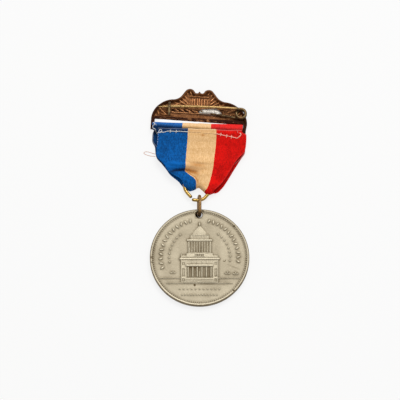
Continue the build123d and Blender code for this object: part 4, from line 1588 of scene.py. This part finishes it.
def make_ring(rings):
    """The open suspension ring with its bent ends and its straight tail."""
    low, high = box_of("suspension_ring")
    turns = np.radians(np.linspace(*RING_TURNS, 170))
    path = np.stack([np.cos(turns), np.sin(turns), 0 * turns], axis=1) * rings.radius
    sweep = np.radians(np.linspace(TAIL_SWEEP, 0, 14)[:-1])
    bend = np.stack([-np.sin(sweep), 1 - np.cos(sweep), 0 * sweep], axis=1)
    tail = path[0] + TAIL_REACH * bend
    turn = np.arctan2(path[:, 1], path[:, 0])
    bent = sum(deep * bell((turn + middle) / half) for middle, half, deep in DENTS)
    path[:, :2] *= 1 - bent[:, None]
    path = np.concatenate([tail, path]) + (low + high) / 2
    path, radii = rounded_ends(path, rings.wire / 2)
    points, faces = wire(path, radii, sides=24)
    tips = np.minimum(*(norm(points - path[end], axis=1) for end in (0, -1)))
    return add_piece(
        "suspension_ring_wire",
        points,
        faces,
        drawn_wire("gilt_brass", rings.gilt, rings.worn, 0.35, 0.26),
        replaces=["suspension_ring"],
        marks={"soot": 0.8 * (1 - eased(tips / 1.4))},
    )


def make_link(rings):
    """The oval jump ring, which leans between the suspension ring and the disc."""
    low, high = box_of("jump_ring")
    middle = (low + high) / 2 + (0.1, -0.1, 0.0)
    lean = rings.link_lean
    bend = ((high[2] - low[2] - rings.link_wire) / math.cos(lean)) / 2
    straight = (high[1] - low[1] - rings.link_wire) / 2 - bend
    turns = np.linspace(0, 2 * math.pi, 96, endpoint=False)
    reach = np.cos(turns)
    along = bend * reach + straight * np.sign(reach) * eased(8 * np.abs(reach))
    tall = bend * np.sin(turns)
    path = np.stack([tall * math.sin(lean), along, tall * math.cos(lean)], axis=1) + middle
    facing = (math.cos(lean), 0, -math.sin(lean))
    points, faces = wire(path, rings.link_wire / 2, facing=facing, sides=24, loop=True)
    return add_piece(
        "jump_ring_wire",
        points,
        faces,
        drawn_wire("dull_brass_wire", rings.dull, rings.worn, 0.6, 0.36),
        replaces=["jump_ring"],
        # Painted shade on the end that goes down into the disc's hole.
        marks={"soot": 1 - eased((points[:, 1] - low[1] - 0.9) / 0.9)},
    )


# Relief of the disc in shares of its radius; raised is a share of the field's depth
TIERS = table(
    "low high half raised",
    (-0.525, -0.049, 0.38, 0.4),
    (-0.049, -0.003, 0.408, 0.85),
    (-0.003, 0.045, 0.372, 0.35),
    (-0.003, 0.088, 0.27, 0.5),
    (0.088, 0.335, 0.235, 0.45),
    (0.335, 0.381, 0.258, 0.9),
    (0.381, 0.473, 0.187, 0.45),
    (0.455, 0.473, 0.192, 0.8),
    (-0.187, -0.141, 0.28, 0.95),
    (-0.458, -0.421, 0.3, 0.7),
    (-0.492, -0.462, 0.318, 0.85),
    (-0.525, -0.497, 0.336, 1.0),
    (-0.072, -0.06, 0.386, 0.7),
    (0.076, 0.09, 0.262, 0.75),
    (0.016, 0.078, 0.1, 0.8),
)
RECESSES = table(
    "low high half raised",
    (-0.421, -0.19, 0.262, 0.0),
    (0.1, 0.328, 0.222, 0.12),
    (0.39, 0.45, 0.175, 0.32),
    (0.03, 0.064, 0.088, 0.2),
)
DOME_BASE = 0.473
DOME_STEPS = table(
    "half high raised",
    (0.15, 0.1, 0.16),
    (0.135, 0.135, 0.22),
    (0.11, 0.165, 0.28),
    (0.075, 0.19, 0.34),
    (0.04, 0.207, 0.4),
)
FINIAL = SimpleNamespace(low=0.64, high=0.745, middle=0.69, half=0.017, tall=0.03)
COLUMNS = table(
    "low high count pitch width raised",
    (-0.421, -0.187, 6, 0.092, 0.05, 1.1),
    (0.095, 0.33, 9, 0.052, 0.034, 0.9),
    (0.388, 0.452, 7, 0.054, 0.03, 0.6),
    (-0.139, -0.082, 4, 0.101, 0.022, 0.95),
    (0.03, 0.064, 4, 0.04, 0.02, 0.8),
    (-0.525, 0.078, 2, 0.732, 0.03, 0.75),
    (-0.421, -0.06, 2, 0.56, 0.016, 0.6),
)
NICHES = table(
    "across up half tall",
    (-0.325, -0.315, 0.026, 0.085),
    (0.325, -0.315, 0.026, 0.085),
    (-0.325, -0.13, 0.026, 0.028),
    (0.325, -0.13, 0.026, 0.028),
    (0.0, -0.345, 0.024, 0.08),
    (-0.325, -0.47, 0.024, 0.03),
    (0.325, -0.47, 0.024, 0.03),
)
GROUND_LINES = [(-0.431, 0.8), (-0.534, 0.655)]
# Bands of leaves and lozenges from one angle to another, in degrees
LEAF_BANDS = table(
    "radius first last count length",
    (0.78, 104, 196, 14, 0.105),
    (0.78, 76, -6, 13, 0.105),
)
LOZENGE_BANDS = table(
    "radius first last count length",
    (0.612, 130, 189, 8, 0.038),
    (0.612, 52, -6, 8, 0.038),
)
BEAD_ROWS = table("up half count bead", (-0.655, 0.4, 11, 0.022), (-0.775, 0.35, 13, 0.022))
FLEURONS = [(-0.535, -0.33), (0.56, -0.345), (0.725, -0.355)]
BLEMISHES = table(
    "across up size deep dark",
    (-0.099, -0.571, 0.026, 0.6, 1.0),
    (0.685, -0.686, 0.024, 0.4, 0.95),
    (0.692, 0.648, 0.026, 0.3, 0.9),
    (0.068, 0.958, 0.026, 0.3, 0.8),
    (0.48, -0.074, 0.015, 0.4, 0.9),
    (0.5, -0.082, 0.016, 0.4, 0.9),
    (0.519, -0.066, 0.015, 0.4, 0.9),
    (0.522, -0.046, 0.012, 0.3, 0.7),
    (-0.978, 0.0, 0.03, 0.2, 0.8),
    (-0.968, -0.105, 0.026, 0.2, 0.7),
    (0.3, -0.905, 0.02, 0.2, 0.5),
    (-0.61, -0.56, 0.018, 0.4, 0.5),
)


def disc_relief(disc, hole):
    """Map of the disc's front: rim, dentils, building, leaves, lozenges and beads."""
    size = disc.diameter / 2
    face = Relief(-size - 0.3, size + 0.3, -size - 0.3, size + 0.3, cell=0.06)
    across, up = face.across, face.up
    rise = disc.field * 1.25
    for rows, shape, slope in ((TIERS, face.strike, 0.12), (RECESSES, face.cut, 0.1)):
        for row in rows:
            middle, tall = (row.low + row.high) / 2 * size, (row.high - row.low) / 2 * size
            block = in_box(across, up, (0.0, middle), (row.half * size, tall))
            shape(block, row.raised * rise, slope)
    base = DOME_BASE * size
    for row in DOME_STEPS:
        oval = in_oval(across, up, (0.0, base), (row.half * size, row.high * size))
        face.strike(np.where(up > base, oval, -1.0), row.raised * rise, 0.14)
    foot, top = (0.0, FINIAL.low * size), (0.0, FINIAL.high * size)
    face.strike(in_line(across, up, foot, top, 0.13), rise, 0.12)
    half = (FINIAL.half * size, FINIAL.tall * size)
    face.strike(in_box(across, up, (0.0, FINIAL.middle * size), half), rise, 0.12)
    for row in COLUMNS:
        half = row.width / 2 * size
        for index in range(row.count):
            shift = (index - (row.count - 1) / 2) * row.pitch * size
            column = in_line(
                across, up, (shift, row.low * size + half), (shift, row.high * size - half), half
            )
            face.strike(column, row.raised * rise, half)
    for row in NICHES:
        centre, half = (row.across * size, row.up * size), (row.half * size, row.tall * size)
        face.cut(in_box(across, up, centre, half), 0.12 * rise, 0.1)
        face.strike(in_box(across, up, centre, (half[0] * 0.5, half[1] * 0.8)), 0.4 * rise, 0.1)
    for height, half in GROUND_LINES:
        ends = [(side * half * size, height * size) for side in (-1, 1)]
        face.strike(in_line(across, up, *ends, 0.17), 0.75 * rise, 0.12)
    for band in LEAF_BANDS:
        tall = band.length * size
        for index, turn in enumerate(np.linspace(band.first, band.last, band.count)):
            lean = math.radians(turn - 90 + (18 if index % 2 else -18))
            way = heading(lean + math.pi / 2)
            root = heading(math.radians(turn)) * band.radius * size - way * tall / 2
            face.strike(in_leaf(across, up, root, lean, tall, 0.42 * tall), rise, 0.22)
            vein = in_line(across, up, root + way * tall * 0.15, root + way * tall * 0.75, 0.07)
            face.cut(vein, 0.45 * rise, 0.07)
    for band in LOZENGE_BANDS:
        for turn in np.radians(np.linspace(band.first, band.last, band.count)):
            over, past = seen_from(across, up, heading(turn) * band.radius * size, turn)
            reach = band.length * size * 0.75
            face.strike((reach - np.abs(over) - np.abs(past)) * 0.7, 0.8 * rise, 0.22)
    for row in BEAD_ROWS:
        for shift in np.linspace(-row.half, row.half, row.count):
            spot, half = (shift * size, row.up * size), row.bead * size
            face.strike(in_oval(across, up, spot, (half, half)), 0.9 * rise, half)
    for spot in FLEURONS:
        root = np.array(spot) * size
        for turn in (-70, 0, 70):
            petal = in_leaf(across, up, root, math.radians(turn), 0.07 * size, 0.03 * size)
            face.strike(petal, 0.8 * rise, 0.15)
    reach, turn = np.hypot(across, up), np.degrees(np.arctan2(up, across))
    pitch = 360 / disc.dentils
    phase = np.abs((turn / pitch + 0.5) % 1 - 0.5) * pitch * np.radians(reach)
    ring = size - disc.rim - 0.15 - disc.dentil_length / 2
    dentil = np.minimum(disc.dentil_length / 2 - np.abs(reach - ring), 0.24 - phase)
    away = np.hypot(across - hole[0], up - hole[1]) - disc.hole / 2
    dentil = np.where(away > 0.15, dentil, -1.0)
    face.strike(dentil, 0.85 * disc.field, 0.14)
    face.height += 0.012 * uneven(across, up, 0.5, 21) + 0.008 * uneven(across, up, 0.2, 22)
    for row in BLEMISHES:
        spot, half = (row.across * size, row.up * size), (row.size * size, row.size * size * 0.8)
        pit = eased(in_oval(across, up, spot, half) / 0.2)
        face.height -= pit * row.deep * disc.field
    face.strike(reach - (size - disc.rim) + 0.12, disc.field, 0.16)
    return face


def disc_grime_and_shade(disc, face):
    """Maps of the grime in the recesses, with painted shade on the rim's edge and over parts of the
    face, and of the wear on the heights.
    """
    size = disc.diameter / 2
    across, up = face.across, face.up
    hollow = face.blurred(0.45) - face.height
    hollow = np.clip(hollow / (0.32 * disc.field), 0, 1)
    stains = 0.5 + 0.5 * uneven(across, up, 3.1, 23)
    reach = np.hypot(across, up)
    building = eased((8.6 - np.abs(across)) / 1.0) * eased((12.6 - np.abs(up - 1.9)) / 1.0)
    streak = in_line(across, up, (11.0, -2.8), (15.2, -4.6), 0.5)
    grime = (
        hollow * (0.42 + 0.3 * stains)
        + 0.09 * eased((reach - size + disc.rim) / 0.3)
        + 0.16 * (face.height < 0.25 * disc.field) * stains
        + 0.06 * building
        # Darker towards the bottom.
        + 0.04 * eased(0.3 - up / size)
        # Painted shade over the upper right and all but the lowest part of the face, which evens
        # out the lamp's light.
        + 0.03 * eased((across + 0.6 * up) / size)
        + 0.08 * eased((up + 14.0) / 4.0)
        # Darker towards the left edge.
        + 0.14 * eased((-across - 15.0) / 3.0)
        + 0.2 * eased(streak / 0.5)
    )
    for row in BLEMISHES:
        spot, half = (row.across * size, row.up * size), (row.size * size * 1.2,) * 2
        grime = np.maximum(grime, eased(in_oval(across, up, spot, half) / 0.25) * row.dark)
    # Painted shade on the outer rounding of the rim, all round.
    grime = np.maximum(grime, 0.95 * eased((reach - size + 0.42) / 0.22))
    worn = np.clip(face.height / disc.field, 0, 1.2) / 1.2
    return np.clip(grime, 0, 1), worn


def square_in_disc(points, radius):
    """A square grid of points drawn into a disc; its outer points run round the circle."""
    places = np.linspace(-1, 1, points)
    a, b = np.meshgrid(places, places)
    reach = np.maximum(np.abs(a), np.abs(b))
    safe_a, safe_b = np.where(a == 0, 1e-9, a), np.where(b == 0, 1e-9, b)
    wide = np.abs(a) > np.abs(b)
    turn = np.where(wide, math.pi / 4 * b / safe_a, math.pi / 2 - math.pi / 4 * a / safe_b)
    sign = np.where(wide, np.sign(a), np.sign(b))
    sign = np.where(sign == 0, 1.0, sign)
    return radius * reach * sign * np.cos(turn), radius * reach * sign * np.sin(turn)


def grid_border(points):
    """Indices round the border of a square grid, counter-clockwise from its lower right corner."""
    grid = np.arange(points * points).reshape(points, points)
    sides = [grid[:-1, -1], grid[-1, :0:-1], grid[:0:-1, 0], grid[0, :-1]]
    return np.concatenate(sides).tolist()


def ring_turns(count):
    """Angles of a ring of points that starts at the grid's lower right corner."""
    return np.radians(-45 + 360 / count * np.arange(count))


def disc_side(points, radii, heights):
    """Half a disc's skin: a square grid inside rings of points. heights gives the level."""
    across, up = square_in_disc(points, GRID_REACH)
    faces = quads(points, points)
    border = grid_border(points)
    count, start = len(border), points * points
    turns = ring_turns(count)
    for index in range(count):
        after = (index + 1) % count
        faces.append([border[index], start + index, start + after, border[after]])
    faces += [face[::-1] for face in quads(len(radii), count, ring=True, start=start)]
    across = np.concatenate([across.ravel(), np.outer(radii, np.cos(turns)).ravel()])
    up = np.concatenate([up.ravel(), np.outer(radii, np.sin(turns)).ravel()])
    return np.stack([across, up, heights(across, up)], axis=1), faces, count


# Points across the square grids of the disc's front and back, and the circle they fill
FRONT_GRID, BACK_GRID, GRID_REACH = 208, 70, 15.3
BACK_RINGS = [16.3, 17.3, 17.85, 18.1, 18.4]
WREATH = 13.6


def disc_mesh(disc, face):
    """The disc's skin lying flat: its struck front, its edge and its other face."""
    size = disc.diameter / 2
    field = disc.thickness - disc.field
    radii = np.linspace(GRID_REACH, size - 0.12, 23)[1:]
    top, faces, count = disc_side(
        FRONT_GRID, radii, lambda across, up: field + face.at(face.height, across, up)
    )
    turns = ring_turns(count)
    chamfer, step_in = 0.035, 0.14
    edge_rows = [(size - chamfer, disc.thickness - chamfer), (size, disc.thickness - step_in)]
    edge_rows += [(size, step_in), (size - chamfer, chamfer)]
    edge_faces = quads(len(edge_rows) + 1, count, ring=True, start=len(top) - count)
    faces += [quad[::-1] for quad in edge_faces]
    rows = [
        np.stack([radius * np.cos(turns), radius * np.sin(turns), level + 0 * turns], axis=1)
        for radius, level in edge_rows
    ]
    total = len(top) + count * len(rows)

    def back_level(across, up):
        """Level of the other face: a ring of leaves inside its rim."""
        reach, turn = np.hypot(across, up), np.arctan2(up, across)
        leaves = 0.5 + 0.5 * np.cos(turn * 46 + 5 * (reach - WREATH) * np.sign(across))
        wreath = (0.35 + 0.4 * leaves) * eased((1.7 - np.abs(reach - WREATH)) / 0.7)
        rim = eased((reach - (size - disc.rim) + 0.1) / 0.25)
        return disc.field * (1 - np.maximum(wreath * 0.8, rim))

    back, back_faces, back_count = disc_side(BACK_GRID, [*BACK_RINGS, size - 0.12], back_level)
    faces += [[corner + total for corner in quad[::-1]] for quad in back_faces]
    step = count // back_count
    outer_back = total + len(back) - back_count
    for index in range(back_count):
        after = (index + 1) % back_count
        fine = [total - count + (index * step + part) % count for part in range(step + 1)]
        faces.append(fine[::-1] + [outer_back + index, outer_back + after])
    return np.concatenate([top, *rows, back]), faces


def make_disc(disc):
    """The struck disc with its rim, relief and drilled hole."""
    size = disc.diameter / 2
    low, high = box_of("medal_disc")
    ring_low, ring_high = box_of("suspension_ring")
    tilt = 0.0
    for _ in range(6):
        tilt = math.asin((high[2] - low[2] - disc.thickness * math.cos(tilt)) / disc.diameter)
    cos, sin = heading(tilt)
    origin = np.array([(low[0] + high[0]) / 2 + 0.15, high[1] - size * cos, low[2] + size * sin])
    hole_across = (ring_low[0] + ring_high[0]) / 2 - origin[0]
    hole = np.array([hole_across, size - disc.hole_wall - disc.hole / 2])
    face = disc_relief(disc, hole)
    points, faces = drill_hole(disc, *disc_mesh(disc, face), hole)
    across, up, level = points.T
    on_top = level > disc.thickness - disc.field - 0.2
    grime_and_shade_map, worn_map = disc_grime_and_shade(disc, face)
    grime = np.where(on_top, face.at(grime_and_shade_map, across, up), 0.35)
    # Painted shade on the disc's outer edge.
    grime = np.where(np.hypot(across, up) > size - 0.05, 0.85, grime)
    near_hole = np.hypot(across - hole[0], up - hole[1]) - disc.hole / 2
    return add_piece(
        "medal_disc_struck",
        origin + np.stack([across, up * cos - level * sin, up * sin + level * cos], axis=1),
        faces,
        struck_metal("toned_white_metal", disc.silver, disc.tone, disc.grime, 0.35, 0.48, 0.5),
        replaces=["medal_disc"],
        marks={
            # Painted shade in the hole and round its edge.
            "grime": np.maximum(grime, 1 - eased((near_hole - 0.1) / 0.3)),
            "worn": np.where(on_top, face.at(worn_map, across, up), 0.4),
        },
    )


def open_loop(taken):
    """Points round a patch of faces, in order."""
    edges = {(a, b) for face in taken for a, b in zip(face, face[1:] + face[:1])}
    border = {a: b for a, b in edges if (b, a) not in edges}
    loop = [min(border)]
    while border[loop[-1]] != loop[0]:
        loop.append(border[loop[-1]])
    return loop


def bridge(points, middle, loops):
    """Triangles between two loops of points round a middle, whatever their counts."""
    orders, nexts = [], []
    for loop in loops:
        angles = np.arctan2(points[loop, 1] - middle[1], points[loop, 0] - middle[0])
        orders.append([loop[index] for index in np.argsort(angles)])
        nexts.append([*np.sort(angles)[1:], 10.0, 10.0])
    (top, low), (next_top, next_low) = orders, nexts
    faces, i, j = [], 0, 0
    while i < len(top) or j < len(low):
        ends = [top[i % len(top)], low[j % len(low)]]
        if i < len(top) and (next_top[i] <= next_low[j] or j >= len(low)):
            i += 1
            faces.append([ends[0], top[i % len(top)], ends[1]])
        else:
            j += 1
            faces.append([ends[0], low[j % len(low)], ends[1]])
    return faces


# Width of the faces taken out round the hole, in millimetres
HOLE_MARGIN = 0.33


def drill_hole(disc, points, faces, hole):
    """Takes out the faces round the hole on both sides and joins them through it."""
    reach, rows = disc.hole / 2 + HOLE_MARGIN, 5
    taken, kept = {True: [], False: []}, []
    for face in faces:
        middle = points[face].mean(axis=0)
        near = (np.abs(middle[:2] - hole) < reach).all()
        (taken[middle[2] > disc.thickness / 2] if near else kept).append(face)
    parts, rims, total = [points], [], len(points)
    for above in (True, False):
        loop = open_loop(taken[above])
        outer = points[loop]
        around = outer[:, :2] - hole
        rim = hole + around / norm(around, axis=1)[:, None] * disc.hole / 2
        flat = disc.thickness - disc.field + 0.1 if above else disc.field
        rings = [loop]
        for row in range(1, rows + 1):
            level = mixed(outer[:, 2], flat, eased(row / rows * 2))
            if above and row == rows:
                level = level - 0.06
            parts.append(np.column_stack([mixed(outer[:, :2], rim, row / rows), level]))
            rings.append(list(range(total, total + len(loop))))
            total += len(loop)
        for near, far in zip(rings, rings[1:]):
            for index in range(len(loop)):
                after = (index + 1) % len(loop)
                kept.append([near[index], near[after], far[after], far[index]])
        rims.append(rings[-1])
    points = np.concatenate(parts)
    return points, kept + bridge(points, hole, rims)


# Place and size of the main light and level of the floor, in metres
KEY_PLACE = (0.16, 0.52, 0.98)
KEY_SIZE = (0.8, 0.6)
FLOOR_LEVEL = -0.00002


def make_stage(stage):
    """Camera, soft light and a plain pale floor."""
    scene = bpy.context.scene
    half = stage.floor_half * MM
    corners = [(-half, -half), (half, -half), (half, half), (-half, half)]
    mesh = bpy.data.meshes.new("floor")
    mesh.from_pydata([(x, y, FLOOR_LEVEL) for x, y in corners], [], [(0, 1, 2, 3)])
    mesh.materials.append(pale_floor("pale_floor", stage))
    floor = bpy.data.objects.new("floor", mesh)
    lamp = bpy.data.lights.new("soft_key", "AREA")
    lamp.shape = "RECTANGLE"
    (lamp.size, lamp.size_y), lamp.energy = KEY_SIZE, stage.key
    key = bpy.data.objects.new("soft_key", lamp)
    key.location = KEY_PLACE
    key.rotation_euler = (-key.location).to_track_quat("-Z", "Y").to_euler()
    view = bpy.data.cameras.new("camera")
    view.lens, view.sensor_width, view.clip_end = stage.lens, 36.0, 10.0
    camera = bpy.data.objects.new("camera", view)
    away = stage.view_width * MM * stage.lens / view.sensor_width
    target = Vector((stage.target_across, stage.target_up, 0)) * MM
    low, up = math.cos(stage.elevation), math.sin(stage.elevation)
    camera.location = target + Vector((0, -low, up)) * away
    camera.rotation_euler = (target - camera.location).to_track_quat("-Z", "Y").to_euler()
    for piece in (floor, key, camera):
        scene.collection.objects.link(piece)
    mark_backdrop(floor, key, camera)
    scene.camera = camera
    world = bpy.data.worlds.new("soft_sky")
    scene.world = world
    world.use_nodes = True
    sky = world.node_tree.nodes["Background"]
    sky.inputs["Color"].default_value = (1.0, 1.0, 1.0, 1.0)
    sky.inputs["Strength"].default_value = stage.sky
    scene.view_settings.view_transform = "Standard"


def settings_of(context, *names):
    """Groups of settings of the scene, with lengths in millimetres."""
    return [in_millimetres(getattr(context.scene, name)) for name in names]


class MEDAL_OT_brooch_bar(bpy.types.Operator):
    """Add the stamped bar with its relief and arms"""

    bl_idname = "medal.brooch_bar"
    bl_label = "Brooch bar"

    def execute(self, context):
        make_bar(*settings_of(context, "medal_bar", "medal_pin"))
        return {"FINISHED"}


class MEDAL_OT_fittings(bpy.types.Operator):
    """Add the rail, the catch and the fixed leg of the pin"""

    bl_idname = "medal.fittings"
    bl_label = "Rail, catch and leg"

    def execute(self, context):
        make_fittings(*settings_of(context, "medal_bar", "medal_pin"))
        return {"FINISHED"}


class MEDAL_OT_solder(bpy.types.Operator):
    """Add the patch of solder over the leg's end"""

    bl_idname = "medal.solder"
    bl_label = "Solder"

    def execute(self, context):
        make_solder(*settings_of(context, "medal_bar", "medal_pin"))
        return {"FINISHED"}


class MEDAL_OT_pin(bpy.types.Operator):
    """Add the sprung pin with the upper turn of its coil"""

    bl_idname = "medal.pin"
    bl_label = "Pin"

    def execute(self, context):
        make_pin(*settings_of(context, "medal_bar", "medal_pin"))
        return {"FINISHED"}


class MEDAL_OT_ribbon(bpy.types.Operator):
    """Add the folded ribbon"""

    bl_idname = "medal.ribbon"
    bl_label = "Ribbon"

    def execute(self, context):
        make_ribbon(*settings_of(context, "medal_bar", "medal_pin", "medal_ribbon"))
        return {"FINISHED"}


class MEDAL_OT_sewing(bpy.types.Operator):
    """Add the stitches and the loose threads on the ribbon"""

    bl_idname = "medal.sewing"
    bl_label = "Sewing"

    def execute(self, context):
        make_sewing(*settings_of(context, "medal_bar", "medal_pin", "medal_ribbon"))
        return {"FINISHED"}


class MEDAL_OT_rings(bpy.types.Operator):
    """Add the suspension ring and the jump ring"""

    bl_idname = "medal.rings"
    bl_label = "Rings"

    def execute(self, context):
        (rings,) = settings_of(context, "medal_rings")
        make_ring(rings)
        make_link(rings)
        return {"FINISHED"}


class MEDAL_OT_disc(bpy.types.Operator):
    """Add the struck disc"""

    bl_idname = "medal.disc"
    bl_label = "Disc"

    def execute(self, context):
        make_disc(*settings_of(context, "medal_disc"))
        return {"FINISHED"}


class MEDAL_OT_stage(bpy.types.Operator):
    """Add the camera, the lights and the floor"""

    bl_idname = "medal.stage"
    bl_label = "Stage"

    def execute(self, context):
        make_stage(*settings_of(context, "medal_stage"))
        return {"FINISHED"}


OPERATORS = [
    MEDAL_OT_brooch_bar,
    MEDAL_OT_fittings,
    MEDAL_OT_solder,
    MEDAL_OT_pin,
    MEDAL_OT_ribbon,
    MEDAL_OT_sewing,
    MEDAL_OT_rings,
    MEDAL_OT_disc,
    MEDAL_OT_stage,
]


class MEDAL_PT_pieces(bpy.types.Panel):
    """Pieces of the medal and their settings"""

    bl_idname = "MEDAL_PT_pieces"
    bl_label = "Commemorative medal"
    bl_space_type = "VIEW_3D"
    bl_region_type = "UI"
    bl_category = "Medal"

    def draw(self, context):
        for operator in OPERATORS:
            self.layout.operator(operator.bl_idname)
        for name in SETTINGS:
            settings = getattr(context.scene, name)
            box = self.layout.box()
            for field in settings.__annotations__:
                box.prop(settings, field)


def register():
    """Adds the settings, the operators and the panel."""
    for name, group in SETTINGS.items():
        bpy.utils.register_class(group)
        setattr(bpy.types.Scene, name, PointerProperty(type=group))
    for shown in [*OPERATORS, MEDAL_PT_pieces]:
        bpy.utils.register_class(shown)


def unregister():
    """Takes them away again."""
    for shown in [MEDAL_PT_pieces, *reversed(OPERATORS)]:
        bpy.utils.unregister_class(shown)
    for name, group in reversed(SETTINGS.items()):
        delattr(bpy.types.Scene, name)
        bpy.utils.unregister_class(group)


def main():
    """Makes every piece in order, then reckons the size of the whole."""
    register()
    bpy.ops.medal.brooch_bar()
    bpy.ops.medal.fittings()
    bpy.ops.medal.solder()
    bpy.ops.medal.pin()
    bpy.ops.medal.ribbon()
    bpy.ops.medal.sewing()
    bpy.ops.medal.rings()
    bpy.ops.medal.disc()
    bpy.ops.medal.stage()
    sizes = {"cad": cad_box, "visual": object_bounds()}
    sizes = {name: [list(corner) for corner in box] for name, box in sizes.items()}


if __name__ == "__main__":
    main()
